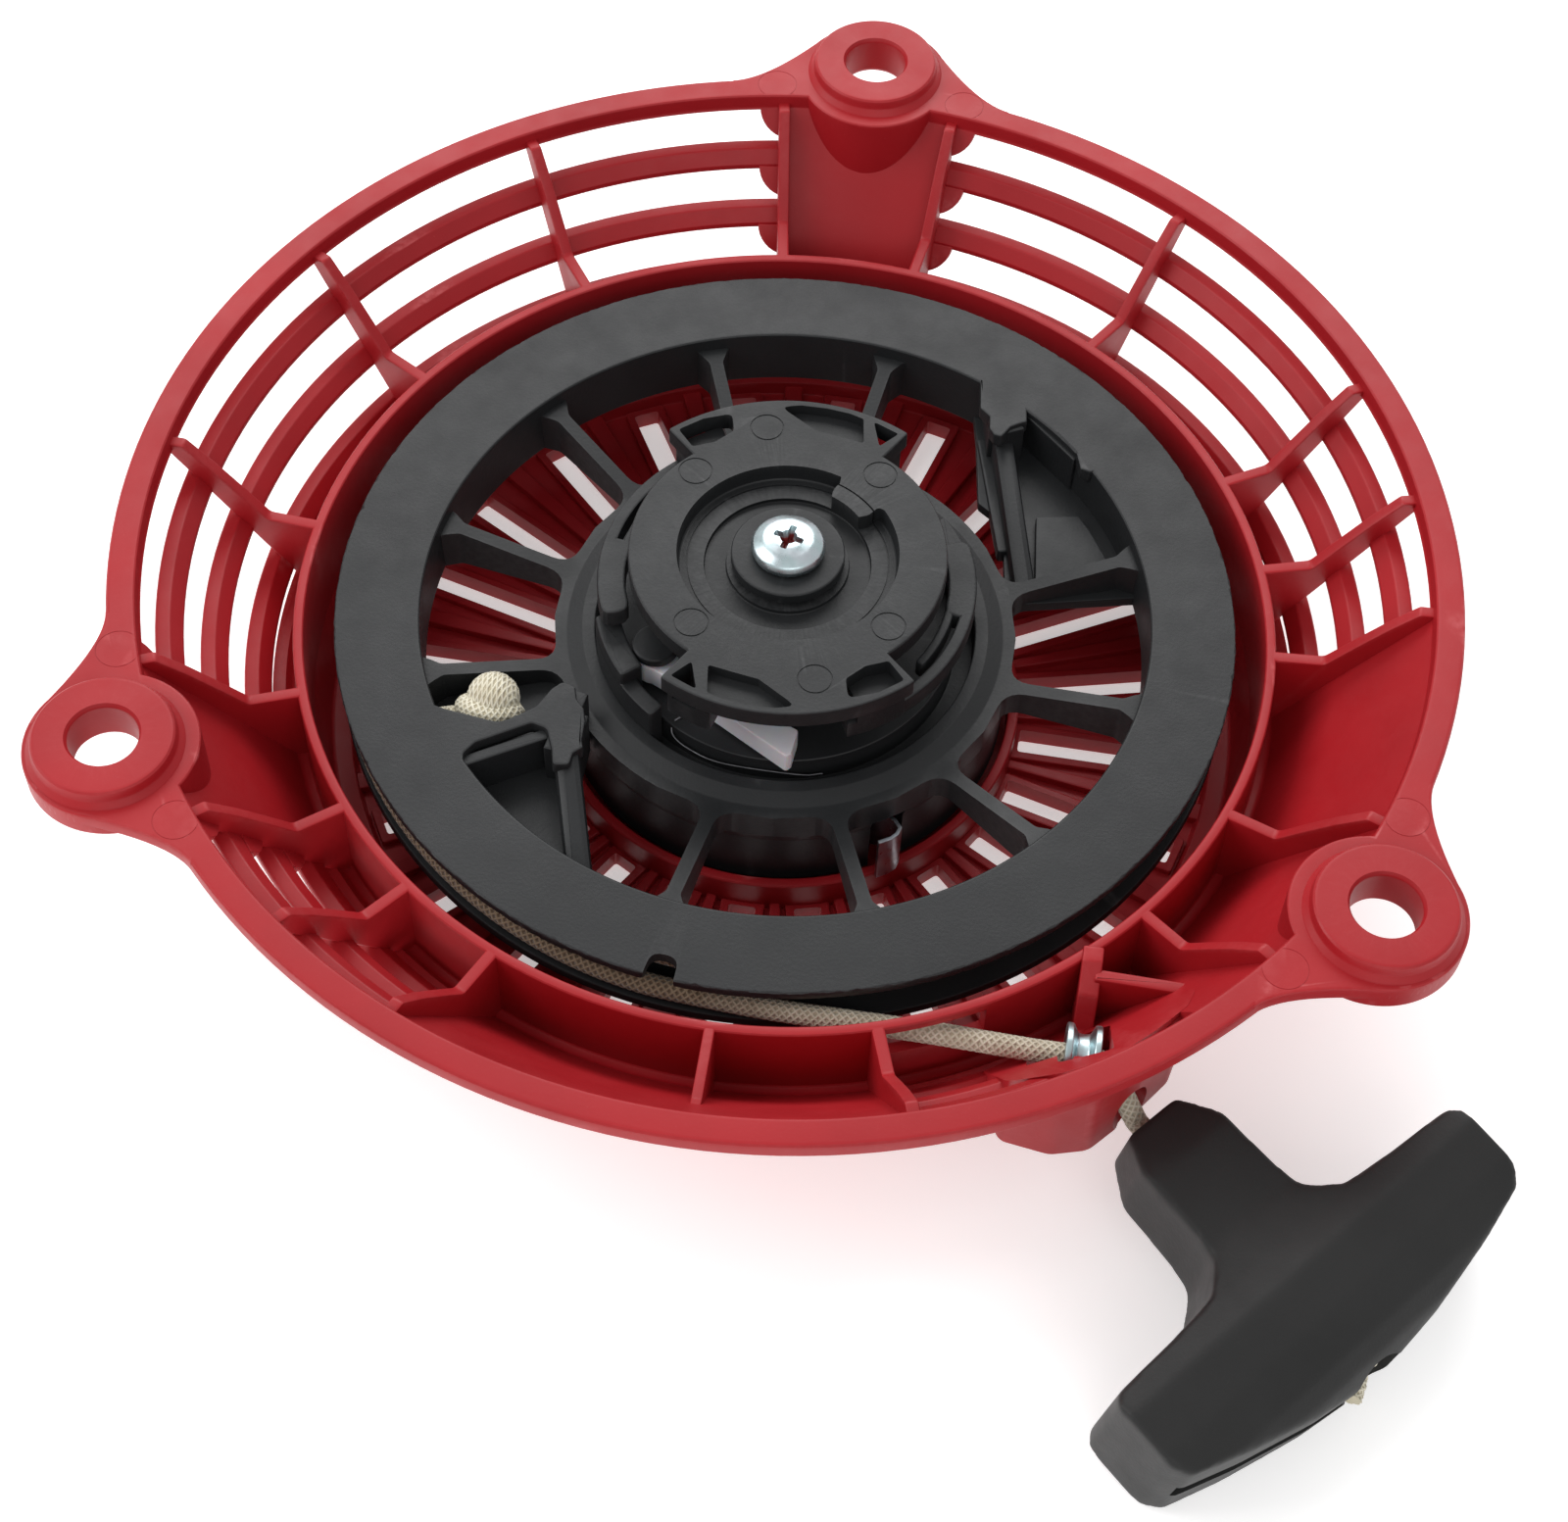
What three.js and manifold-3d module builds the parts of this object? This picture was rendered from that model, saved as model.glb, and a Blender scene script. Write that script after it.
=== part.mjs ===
// Recoil (pull-rope) starter for a small engine, lying on its closed face.
// Millimetres. The origin is on the reel axis, on the flat closed face that rests on a table.
// +Z runs along the reel axis towards the engine, and +Y points to the first bolt ear.
import * as THREE from 'three';
import { mergeVertices } from 'three/addons/utils/BufferGeometryUtils.js';
import Module from 'manifold-3d';

const wasm = await Module();
wasm.setup();

// ---------------------------------------------------------------- driving dimensions
const FACETS = 36;                       // facets of a full circle
const GAP = 0.3;                         // clearance between neighbouring pieces

const RIM = { r: 94, width: 4, top: 42, thick: 2.5, split: 39.4 };
const EAR = { angles: [90, 210, 330], holeAt: 96.9, holeR: 4.7, padR: 9.6, padHeight: 2.4,
  bossAt: 96.15, bossR: 11.75, flare: 13.5, turn: 55, plate: 4.2, wall: 2 };

const CONE = { topR: 89.6, topZ: 39.6, lowR: 70.9, lowZ: 12.4, thick: 2 };
const LOUVRE = { count: 3, r: 88.5, z: 34.3, stepR: 5.2, stepZ: 7.6, shelf: 2.3, reach: 4.2, slope: 2.2,
  drop: 3.5, edge: 1.5 };
const LOUVRE_SECTORS = [[2, 81.5], [98.5, 201.5], [218.5, 244.5], [288, 313.5]];
const GUSSET = { angles: [2, 15, 29, 56, 81.5, 98.5, 124.5, 150, 176.5, 201.5, 218.5, 231.5, 244.5, 270,
  288, 321.5, 338.5], thick: 1.8, shelfR: 77, shelfZ: 27.2, rimR: 88, rimZ: 40.5 };

const DRUM = { r: 70.3, wall: 1.5, top: 27.2, bendZ: 12, footR: 68.6, footZ: 2.6, windowFrom: 287.4,
  windowTo: 300, windowHalf: 2.6 };
const FLOOR = { r: 66.5, thick: 2, chamfer: 2, slots: 24, firstSlot: 14, slotR0: 35.8, slotR1: 62,
  slotWidth: 4, ribWidth: 1.6, ribTop: 3.3, rimR: 63.6, rimTop: 4, wellR: 35.2, wellWall: 1.6, wellTop: 7.8 };
const POST = { r: 7, top: 34.5, holeR: 3.2, holeZ: 16 };

const REEL = { bore: 7.3, faceZ: 27.9, flangeR: 64.5, faceR: 52.3, flange: 1.8, drumR: 54, grooveZ: 20.2,
  lowR: 64, lowZ: 18.4, hubR: 33.3, rimTop: 23.3, seatR: 24.6, seatZ: 23.9, moatZ: 19.5, moatR: 27.4,
  collarR: 29.3, skirtR: 32.7, skirtWall: 1.7, skirtZ: 6, sleeveR: 9.6, sleeveTop: 27, notchAt: 263 };
const SPOKE = { first: 20.5, pitch: 30, thick: 1.9, left: [1, 3, 4, 5, 6, 9, 10, 11, 12], innerR: 31.9,
  outerR: 53, innerTop: 21.6, outerTop: 25.7 };
const POCKET = { face: 2, plate: 1.8, rib: 1.8, strut: 3.4 };

const ROPE = { r: 1.55, z: 23.1, coilR0: 54.3, coilR1: 60.4, lapR: 62.35, lapFrom: 150, lapTo: 266,
  lapStep: 5.8 };
const GUIDE_EYE = { x: 48.4, y: -64.6, z: 23.4, flangeR: 4.5, tubeR: 3, boreR: 2.1, mouthR: 2.95, gap: 3.2,
  lip: 1.3 };
const SNOUT = { bottom: 13.5, tunnelR: 3, ribEnd: -73.2 };
const EXIT = new THREE.Vector3(56.9, -68.7, 15.6);   // where the rope leaves the housing

const PAWL = { pivotR: 20.5, pivotAt: 214, bossR: 3.2, bossFrom: 118, bossTo: 268, holeR: 1.9, pinR: 1.6,
  z0: 24.3, z1: 28.2, pinTop: 29, wireR: 0.3 };
const GUARD = { r0: 25, r1: 27.1, from: 200, to: 235, top: 28 };

const CAP = { r: 22.4, top: 40, edge: 3, recessR: 15.6, recessZ: 37.3, under: 35.2, boreR: 5.9, hubR: 9.4,
  hubBore: 7.4, hubZ: 29, lobeR: 28.2, lobeFrom: 60, lobeTo: 136, armR0: 22.9, slotR0: 24.1, slotR1: 25,
  armR1: 26.9, armZ0: 31, armZ1: 34, armFrom: 296, armTo: 384, tongueFrom: 328, tongueTo: 352, webFrom: 119,
  webTo: 135, webR0: 21.4, noseAt: 13.8, noseAngle: 53.5, noseR: 3.5, grooveR: 11.8, grooveDepth: 0.6 };
const BUSH = { r: 8, top: 40, disc: 1.8, sleeveR: 5.6, bore: 3.3 };
const SCREW = { headR: 5.25, seat: 40.3, headH: 2.9, shankR: 2.9, end: 18, slot: 1.2, slotLen: 6,
  slotDepth: 2 };
const BRAKE = { r: 10.9, wire: 0.75, z0: 29.4, z1: 33.7, turns: 2.5 };
const WASHER = { r0: 7.4, r1: 13, z0: 27.3, z1: 28.3 };
const SPRING = { r0: 9.6, r1: 29.6, turns: 6, thick: 0.6, z0: 8.6, z1: 17.5, endAt: 300 };

const GRIP = { yaw: 139.2, tilt: 8.6, halfLength: 31.8, inner: 5.6, innerMid: 6.6, outer: 13.4, outerEnd: 7.3,
  stemThick: 14, stemEnd: 29.8, stemHalf: 7.4, stemTip: 4.4, shoulder: 23, thick: 19.4, slotDeep: 4, slotHalf: 27,
  slotWidth: 5, knotRoom: 9.6, ropeGap: 1.4 };

// ---------------------------------------------------------------- helpers
const rad = THREE.MathUtils.degToRad;
const around = (r, deg) => [r * Math.cos(rad(deg)), r * Math.sin(rad(deg))];
const facetsFor = (degrees) => Math.max(2, Math.round(FACETS * Math.abs(degrees) / 360));

// A closed three.js geometry as a manifold solid with its faces pointing out.
function solidOf(source) {
  let geometry = source.clone();
  geometry.deleteAttribute('normal');
  geometry.deleteAttribute('uv');
  geometry = mergeVertices(geometry, 1e-4);
  const p = geometry.attributes.position.array;
  const index = geometry.index.array;
  const triangles = [];
  let volume = 0;
  for (let i = 0; i < index.length; i += 3) {
    const [a, b, c] = [index[i], index[i + 1], index[i + 2]];
    if (a === b || b === c || a === c) {
      continue;
    }
    triangles.push(a, b, c);
    const A = new THREE.Vector3().fromArray(p, a * 3);
    const B = new THREE.Vector3().fromArray(p, b * 3);
    const C = new THREE.Vector3().fromArray(p, c * 3);
    volume += A.dot(B.cross(C));
  }
  if (volume < 0) {
    triangles.reverse();
  }
  const mesh = new wasm.Mesh({ numProp: 3, vertProperties: new Float32Array(p),
    triVerts: new Uint32Array(triangles) });
  return new wasm.Manifold(mesh);
}

// Solid of revolution about Z from a list of [radius, height] points.
function turned(profile, facets = FACETS) {
  const points = profile.map(([r, z]) => new THREE.Vector2(r, z));
  if (profile[0][0] > 0) {
    points.push(points[0].clone());
  }
  const geometry = new THREE.LatheGeometry(points, facets);
  geometry.rotateX(Math.PI / 2);
  return solidOf(geometry);
}

function ring(r0, r1, z0, z1, facets = FACETS) {
  return turned([[r0, z0], [r1, z0], [r1, z1], [r0, z1]], facets);
}

function rod(r, z0, z1, facets = 24) {
  return turned([[0, z0], [r, z0], [r, z1], [0, z1]], facets);
}

// A flat outline pushed up from z0 to z1.
function prism(shape, z0, z1, curveSegments = 12) {
  const geometry = new THREE.ExtrudeGeometry(shape, { depth: z1 - z0, bevelEnabled: false, curveSegments });
  geometry.translate(0, 0, z0);
  return solidOf(geometry);
}

function outline(points) {
  return new THREE.Shape(points.map(([x, y]) => new THREE.Vector2(x, y)));
}

// Part of a ring between two radii and two angles in degrees.
function sector(r0, r1, from, to, z0, z1) {
  const shape = new THREE.Shape();
  shape.absarc(0, 0, r1, rad(from), rad(to), false);
  if (r0 > 0) {
    shape.absarc(0, 0, r0, rad(to), rad(from), true);
  } else {
    shape.lineTo(0, 0);
  }
  return prism(shape, z0, z1, facetsFor(to - from));
}

// A flat bar between two plan points, of a given width.
function bar(a, b, width, z0, z1) {
  const along = new THREE.Vector2(b[0] - a[0], b[1] - a[1]).normalize().multiplyScalar(width / 2);
  const points = [[a[0] + along.y, a[1] - along.x], [b[0] + along.y, b[1] - along.x],
    [b[0] - along.y, b[1] + along.x], [a[0] - along.y, a[1] + along.x]];
  return prism(outline(points), z0, z1);
}

// An upright plate whose side view is a list of [distance, height] points, standing along an angle.
function plate(profile, thick, angle, x = 0, y = 0) {
  const geometry = new THREE.ExtrudeGeometry(outline(profile), { depth: thick, bevelEnabled: false });
  geometry.translate(0, 0, -thick / 2);
  geometry.rotateX(Math.PI / 2);
  geometry.rotateZ(rad(angle));
  geometry.translate(x, y, 0);
  return solidOf(geometry);
}

// A round bar along a curve.
function tube(points, r, steps, sides = 8) {
  const curve = new THREE.CatmullRomCurve3(points, false, 'centripetal');
  const section = new THREE.Shape();
  section.absarc(0, 0, r, 0, Math.PI * 2, false);
  const geometry = new THREE.ExtrudeGeometry(section, { steps, curveSegments: sides / 2,
    extrudePath: curve });
  return solidOf(geometry);
}

function union(solids) {
  return solids.reduce((sum, solid) => sum.add(solid));
}

function cylinderAt(x, y, r, z0, z1, facets = 24) {
  return rod(r, z0, z1, facets).translate([x, y, 0]);
}

const plastic = (color) => new THREE.MeshStandardMaterial({ color, roughness: 0.5, metalness: 0 });
const RED = plastic(0xb5383f);
const BLACK = plastic(0x37373a);
const NYLON = new THREE.MeshStandardMaterial({ color: 0xd8d8da, roughness: 0.4, metalness: 0 });
const CORD = new THREE.MeshStandardMaterial({ color: 0xb8a98a, roughness: 0.9, metalness: 0 });
const ZINC = new THREE.MeshStandardMaterial({ color: 0xd2d8dc, roughness: 0.25, metalness: 1 });
const STEEL = new THREE.MeshStandardMaterial({ color: 0x8e9296, roughness: 0.35, metalness: 1 });

const starter = new THREE.Group();
starter.name = 'recoil_starter';

function addPart(name, solid, material, parent = starter) {
  const { vertProperties, triVerts } = solid.getMesh();
  const geometry = new THREE.BufferGeometry();
  geometry.setAttribute('position', new THREE.BufferAttribute(new Float32Array(vertProperties), 3));
  geometry.setIndex(new THREE.BufferAttribute(new Uint32Array(triVerts), 1));
  geometry.computeVertexNormals();
  const mesh = new THREE.Mesh(geometry, material);
  mesh.name = name;
  parent.add(mesh);
  return mesh;
}

// ---------------------------------------------------------------- housing
const coneR = (z) => CONE.lowR + (CONE.topR - CONE.lowR) * (z - CONE.lowZ) / (CONE.topZ - CONE.lowZ);

// Where two lines, each a point and a direction, meet in plan.
function meet(p, d, q, e) {
  const t = ((q.x - p.x) * e.y - (q.y - p.y) * e.x) / (d.x * e.y - d.y * e.x);
  return p.clone().addScaledVector(d, t);
}

// The ear's outline, drawn pointing along +X: the rim curves out to a round boss and back.
function earOutline() {
  const flare = rad(EAR.flare);
  const turn = rad(EAR.turn);
  const rimPoint = new THREE.Vector2(RIM.r * Math.cos(flare), RIM.r * Math.sin(flare));
  const bossPoint = new THREE.Vector2(EAR.bossAt + EAR.bossR * Math.cos(turn), EAR.bossR * Math.sin(turn));
  const control = meet(rimPoint, new THREE.Vector2(-Math.sin(flare), Math.cos(flare)),
    bossPoint, new THREE.Vector2(-Math.sin(turn), Math.cos(turn)));
  const inner = around(RIM.r - RIM.width / 2, EAR.flare);
  const shape = new THREE.Shape();
  shape.moveTo(inner[0], -inner[1]);
  shape.lineTo(rimPoint.x, -rimPoint.y);
  shape.quadraticCurveTo(control.x, -control.y, bossPoint.x, -bossPoint.y);
  shape.absarc(EAR.bossAt, 0, EAR.bossR, -turn, turn, false);
  shape.quadraticCurveTo(control.x, control.y, rimPoint.x, rimPoint.y);
  shape.lineTo(inner[0], inner[1]);
  shape.lineTo(RIM.r - RIM.width / 2, 0);
  return shape;
}

function ear(angle) {
  const under = RIM.top - RIM.thick;
  const boss = cylinderAt(EAR.bossAt, 0, EAR.bossR, under, RIM.top, 20);
  const plateUnder = cylinderAt(EAR.bossAt, 0, EAR.bossR, RIM.top - EAR.plate, RIM.top, 20);
  const pad = cylinderAt(EAR.holeAt, 0, EAR.padR, RIM.top - 1, RIM.top + EAR.padHeight, 20);
  return union([prism(earOutline(), under, RIM.top, 5), boss, plateUnder, pad]).rotate([0, 0, angle]);
}

// Half-round wall below an ear that drops from the flange to the sloping side wall.
function earWall(angle) {
  const tubeWall = ring(EAR.bossR - EAR.wall, EAR.bossR, 0, RIM.top - 1, 20).translate([EAR.bossAt, 0, 0]);
  const keep = turned([[CONE.lowR - 6, CONE.lowZ - 8], [CONE.lowR, CONE.lowZ - 8], [CONE.topR + 9, RIM.top],
    [CONE.lowR - 6, RIM.top]]);
  return tubeWall.rotate([0, 0, angle]).intersect(keep);
}

function louvre(k) {
  const { shelf, reach, slope, drop, edge } = LOUVRE;
  const r = LOUVRE.r - k * LOUVRE.stepR;
  const z = LOUVRE.z - k * LOUVRE.stepZ;
  return turned([[r, z], [r - shelf, z], [r - reach, z - slope], [r - reach, z - drop], [r - shelf, z - drop],
    [r, z - edge]]);
}

// Radial rib from the inner ring to the sloping wall and up to the flange.
function gusset(angle) {
  const inner = DRUM.r + GAP;
  const foot = CONE.lowZ + 1;
  const rimInner = RIM.r - RIM.width;
  const profile = [[inner, foot], [coneR(foot) + 1, foot], [rimInner + 0.5, CONE.topZ - 0.5],
    [rimInner + 0.5, GUSSET.rimZ], [GUSSET.rimR, GUSSET.rimZ], [GUSSET.shelfR, GUSSET.shelfZ],
    [inner, GUSSET.shelfZ]];
  return plate(profile, GUSSET.thick, angle);
}

// Rib across the rope's path, with an open slot that holds the rope guide.
function ropeRib() {
  const { x, y, z, tubeR } = GUIDE_EYE;
  const slotR = tubeR + GAP;
  const thick = GUIDE_EYE.gap - 2 * GAP;
  const body = bar([x, -51.2], [x, SNOUT.ribEnd], thick, CONE.lowZ + 3, GUSSET.shelfZ);
  const nearTop = bar([x, y - slotR], [x, SNOUT.ribEnd], thick, GUSSET.shelfZ - 1, 32);
  const opening = prism(outline([[y - slotR, z], [y + slotR, z], [-55.8, GUSSET.shelfZ + 6],
    [y - slotR, GUSSET.shelfZ + 6]]), -4, 4).rotate([90, 0, 90]).translate([x, 0, 0]);
  const round = cylinderAt(0, 0, slotR, -4, 4, 20).rotate([0, 90, 0]).translate([x, y, z]);
  const side = bar([x + 1, -54], [62.5, -54.3], GUSSET.thick, CONE.lowZ + 5, GUSSET.shelfZ);
  return body.add(nearTop).subtract(opening).subtract(round).add(side);
}

// Room for the rope guide, open upwards so that it can be dropped into its rib.
function guideRoom() {
  const { x, y, z, flangeR } = GUIDE_EYE;
  const reach = flangeR + GAP;
  const half = GUIDE_EYE.gap / 2 + GUIDE_EYE.lip + GAP;
  const above = prism(outline([[x - half, y - reach], [x + half, y - reach], [x + half, y + reach],
    [x - half, y + reach]]), z, RIM.split - 3);
  return cylinderAt(0, 0, reach, -half, half, 20).rotate([0, 90, 0]).translate([x, y, z]).add(above);
}

// Boss on the outside of the side wall that the rope leaves through.
function snout() {
  const shape = outline([[39, -73.5], [46, -74.6], [51, -73.2], [56.4, -67.2], [60.6, -61.5], [62, -56],
    [50, -52], [36, -66]]);
  return prism(shape, SNOUT.bottom, RIM.split - GAP).subtract(rod(coneR(SNOUT.bottom) - 3, 0, 60, 48));
}

const coneWall = turned([[coneR(CONE.lowZ), CONE.lowZ], [coneR(CONE.lowZ) + CONE.thick, CONE.lowZ],
  [CONE.topR + CONE.thick, CONE.topZ], [CONE.topR, CONE.topZ]]);
const rimRing = turned([[RIM.r - RIM.width, RIM.top - RIM.thick], [RIM.r, RIM.top - RIM.thick],
  [RIM.r, RIM.top], [RIM.r - RIM.width, RIM.top]]);
const louvreRings = union([...Array(LOUVRE.count).keys()].map(louvre));
const louvreOpening = ([from, to]) => sector(60, 92, from, to, CONE.lowZ + 2.5, CONE.topZ);
const louvreZone = union(LOUVRE_SECTORS.map(louvreOpening));
const innerCone = turned([[0, -5], [CONE.lowR - 4, -5], [coneR(CONE.lowZ), CONE.lowZ], [coneR(60), 60],
  [0, 60]]);

let wallBody = coneWall.subtract(louvreZone).add(louvreRings.intersect(louvreZone)).add(rimRing);
wallBody = union([wallBody, snout().subtract(innerCone), ...GUSSET.angles.map(gusset)]);
for (const angle of EAR.angles) {
  const pocket = cylinderAt(EAR.bossAt, 0, EAR.bossR - EAR.wall, -1, RIM.top - EAR.plate, 20)
    .rotate([0, 0, angle]);
  const hole = cylinderAt(EAR.holeAt, 0, EAR.holeR, 0, 60, 20).rotate([0, 0, angle]);
  wallBody = wallBody.add(earWall(angle)).subtract(pocket).add(ear(angle)).subtract(hole);
}
const outwards = EXIT.clone().add(EXIT).sub(ropeOut()[4]);
const tunnel = tube([...ropeOut().slice(2), outwards], SNOUT.tunnelR, 12, 10);
wallBody = wallBody.subtract(guideRoom()).subtract(tunnel).add(ropeRib())
  .subtract(rod(DRUM.r + GAP, -5, 60, FACETS));

// The moulding is split level with the underside of its flange.
const belowSplit = rod(2 * RIM.r, -5, RIM.split - GAP);
addPart('housing_rim', wallBody.subtract(rod(2 * RIM.r, -5, RIM.split)), RED);
addPart('housing_wall', wallBody.intersect(belowSplit), RED);

const drumProfile = [[DRUM.r - DRUM.wall, DRUM.top], [DRUM.r, DRUM.top], [DRUM.r, DRUM.bendZ],
  [DRUM.footR, DRUM.footZ], [DRUM.footR - DRUM.wall, DRUM.footZ], [DRUM.r - DRUM.wall, DRUM.bendZ]];
const ropeWindow = sector(60, 80, DRUM.windowFrom, DRUM.windowTo, ROPE.z - DRUM.windowHalf,
  ROPE.z + DRUM.windowHalf);
addPart('housing_drum', turned(drumProfile).subtract(ropeWindow), RED);

function floorSlot(k) {
  const angle = FLOOR.firstSlot + k * 360 / FLOOR.slots;
  return bar(around(FLOOR.slotR0, angle), around(FLOOR.slotR1, angle), FLOOR.slotWidth, -5, 20);
}

function floorRib(k) {
  const angle = FLOOR.firstSlot + (k + 0.5) * 360 / FLOOR.slots;
  return bar(around(FLOOR.wellR - 0.5, angle), around(64.5, angle), FLOOR.ribWidth, FLOOR.thick - 1,
    FLOOR.ribTop);
}

const slotNumbers = [...Array(FLOOR.slots).keys()];
const floorPlate = turned([[0, 0], [FLOOR.r - FLOOR.chamfer, 0], [FLOOR.r, FLOOR.chamfer],
  [FLOOR.r, FLOOR.rimTop], [FLOOR.rimR, FLOOR.rimTop], [FLOOR.rimR, FLOOR.thick], [0, FLOOR.thick]]);
const springWell = ring(FLOOR.wellR - FLOOR.wellWall, FLOOR.wellR, FLOOR.thick - 1, FLOOR.wellTop);
const floorBody = union([floorPlate, springWell, ...slotNumbers.map(floorRib)])
  .subtract(union(slotNumbers.map(floorSlot)));
addPart('housing_floor', floorBody, RED);
const post = rod(POST.r, FLOOR.thick + GAP, POST.top, FACETS);
addPart('housing_post', post.subtract(rod(POST.holeR, POST.holeZ, 60)), RED);

// ---------------------------------------------------------------- rope guide
function ropeGuide() {
  const { flangeR, tubeR, boreR, mouthR, gap, lip } = GUIDE_EYE;
  const half = gap / 2;
  const profile = [[mouthR, -half - lip], [flangeR, -half - lip], [flangeR, -half], [tubeR, -half],
    [tubeR, half], [flangeR, half], [flangeR, half + lip], [mouthR, half + lip], [boreR, half],
    [boreR, -half]];
  return turned(profile, 20).rotate([0, 90, 0]).translate([GUIDE_EYE.x, GUIDE_EYE.y, GUIDE_EYE.z]);
}
addPart('rope_guide', ropeGuide(), ZINC);

// ---------------------------------------------------------------- rope in the housing
// Last part turn of the rope, lying on the coil, up to where it runs straight to the guide.
function ropeLap() {
  const points = [];
  for (let angle = ROPE.lapFrom; angle <= ROPE.lapTo; angle += ROPE.lapStep) {
    points.push(new THREE.Vector3(...around(ROPE.lapR, angle), ROPE.z));
  }
  return points;
}

// From the reel through the guide to the outlet.
function ropeOut() {
  const { x, y, z } = GUIDE_EYE;
  return [new THREE.Vector3(8, -63, ROPE.z), new THREE.Vector3(28, -63.9, ROPE.z + 0.1),
    new THREE.Vector3(x - 7, y + 0.1, z), new THREE.Vector3(x, y, z),
    new THREE.Vector3(x + 3.6, y - 0.6, z - 0.9), EXIT];
}
addPart('rope_run', tube([...ropeLap(), ...ropeOut()], ROPE.r, 40), CORD);

// ---------------------------------------------------------------- reel
function reelHub() {
  const r = REEL;
  return turned([[r.bore, 18.2], [r.bore, r.sleeveTop], [r.sleeveR, r.sleeveTop], [r.sleeveR, r.seatZ],
    [r.seatR, r.seatZ], [r.seatR, r.moatZ], [r.moatR, r.moatZ], [r.moatR, r.rimTop], [r.collarR, r.rimTop],
    [r.hubR, r.rimTop - 1.5], [r.hubR, r.rimTop - 3.3], [r.skirtR, r.rimTop - 3.7], [r.skirtR, r.skirtZ],
    [r.skirtR - r.skirtWall, r.skirtZ], [r.skirtR - r.skirtWall, 17.9], [23, 17.9], [23, 22], [r.sleeveR, 22],
    [r.sleeveR, 18.2]]);
}

function reelDrum() {
  const r = REEL;
  return turned([[r.faceR, r.faceZ], [r.flangeR, r.faceZ], [r.flangeR, r.faceZ - r.flange],
    [r.drumR, r.faceZ - r.flange - 0.1], [r.drumR, r.grooveZ], [r.lowR, r.grooveZ - 0.1], [r.lowR, r.lowZ],
    [r.faceR - 0.3, r.lowZ]]);
}

function spoke(number) {
  const angle = SPOKE.first + (number - 1) * SPOKE.pitch;
  const { innerR, outerR, innerTop, outerTop } = SPOKE;
  const profile = [[innerR, REEL.lowZ], [outerR, REEL.lowZ], [outerR, outerTop], [innerR + 1.6, innerTop],
    [innerR, innerTop]];
  const flare = outline([[49.4, 0.9], [52.9, 2.7], [52.9, -2.7], [49.4, -0.9]]);
  const foot = outline([[32, 4.4], [33.2, 4.2], [37, 0.9], [37, -0.9], [33.2, -4.2], [32, -4.4]]);
  return plate(profile, SPOKE.thick, angle)
    .add(prism(flare, REEL.lowZ, outerTop - 0.3).rotate([0, 0, angle]))
    .add(prism(foot, REEL.lowZ, innerTop).rotate([0, 0, angle]));
}

// Open pocket at the rope's inner end: a bridge at face level, a sloping strut, a floor and the knot's shelf.
function knotPocket() {
  const top = REEL.faceZ;
  const bridge = outline([[-46.8, -25.2], [-44.6, -25.7], [-35.4, -26.9], [-31.4, -22.8], [-30.6, -19.2],
    [-28.6, -18.2], [-26.9, -19], [-26.4, -21.4], [-25, -23], [-24.7, -28.2], [-25.6, -30.6], [-28.6, -30.4],
    [-29.6, -26.8], [-33.6, -28.6], [-39.6, -32], [-38.8, -37.4]]);
  const floor = outline([[-41.5, -34.2], [-29.2, -27], [-26.5, -29.5], [-19, -50.5], [-30, -44], [-38, -38]]);
  const post = bar([-28.4, -29], [-25.5, -18.5], 2.6, REEL.lowZ, top - 1);
  const side = bar([-29.2, -27], [-41.2, -34], POCKET.rib, REEL.lowZ, top - 1);
  const strut = bar([-26.8, -28.6], [-20.6, -49.4], POCKET.strut, REEL.lowZ, top - 3.6);
  const shelf = bar([-46.5, -22.8], [-31, -10.5], 2, REEL.lowZ, 20.8);
  return union([prism(bridge, top - POCKET.face, top), prism(floor, REEL.lowZ, REEL.lowZ + POCKET.plate),
    post, side, strut, shelf]);
}

// Matching pocket on the other side: an inward lobe of the face, its floor and a long strut to the hub.
function facePocket() {
  const top = REEL.faceZ;
  const lobe = outline([[20, 54], [19.4, 51], [23.8, 51.4], [23, 48.2], [23.5, 42], [25.2, 40.2], [26, 36.8],
    [27.3, 36.4], [28.8, 39], [31, 39.6], [30.4, 43.7], [40.8, 33.4], [44, 34], [36, 42], [28, 52]]);
  const floor = outline([[23.2, 47], [23.6, 42], [25.2, 29.6], [28.4, 27], [30, 20.5], [31.5, 12.5],
    [34.6, 11.8], [50.5, 14.5], [46, 25], [41, 33], [30, 43.5]]);
  const ledge = outline([[34.4, 27.6], [40.1, 28.5], [42.1, 25.7], [44.6, 21.2], [46.5, 16.8], [36, 12.6]]);
  const strut = bar([27.4, 40.6], [33.6, 11.6], POCKET.strut, REEL.lowZ, 22.6);
  const post = bar([25.6, 47], [27.2, 38.5], 2.4, REEL.lowZ, top - 1);
  return union([prism(lobe, top - POCKET.face, top), prism(floor, REEL.lowZ, REEL.lowZ + POCKET.plate),
    strut, post, prism(ledge, REEL.lowZ, REEL.lowZ + POCKET.plate + 1.2)]);
}

function halfTurn(solid) {
  return solid.rotate([0, 0, 180]);
}

const pawlPivot = around(PAWL.pivotR, PAWL.pivotAt);
const pivotPin = cylinderAt(pawlPivot[0], pawlPivot[1], PAWL.pinR, REEL.seatZ - 1, PAWL.pinTop, 16);
const guard = sector(GUARD.r0, GUARD.r1, GUARD.from, GUARD.to, REEL.moatZ - 1, GUARD.top)
  .add(sector(GUARD.r0, REEL.moatR + 1, GUARD.from, GUARD.to, REEL.moatZ - 1, REEL.rimTop));

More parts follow.
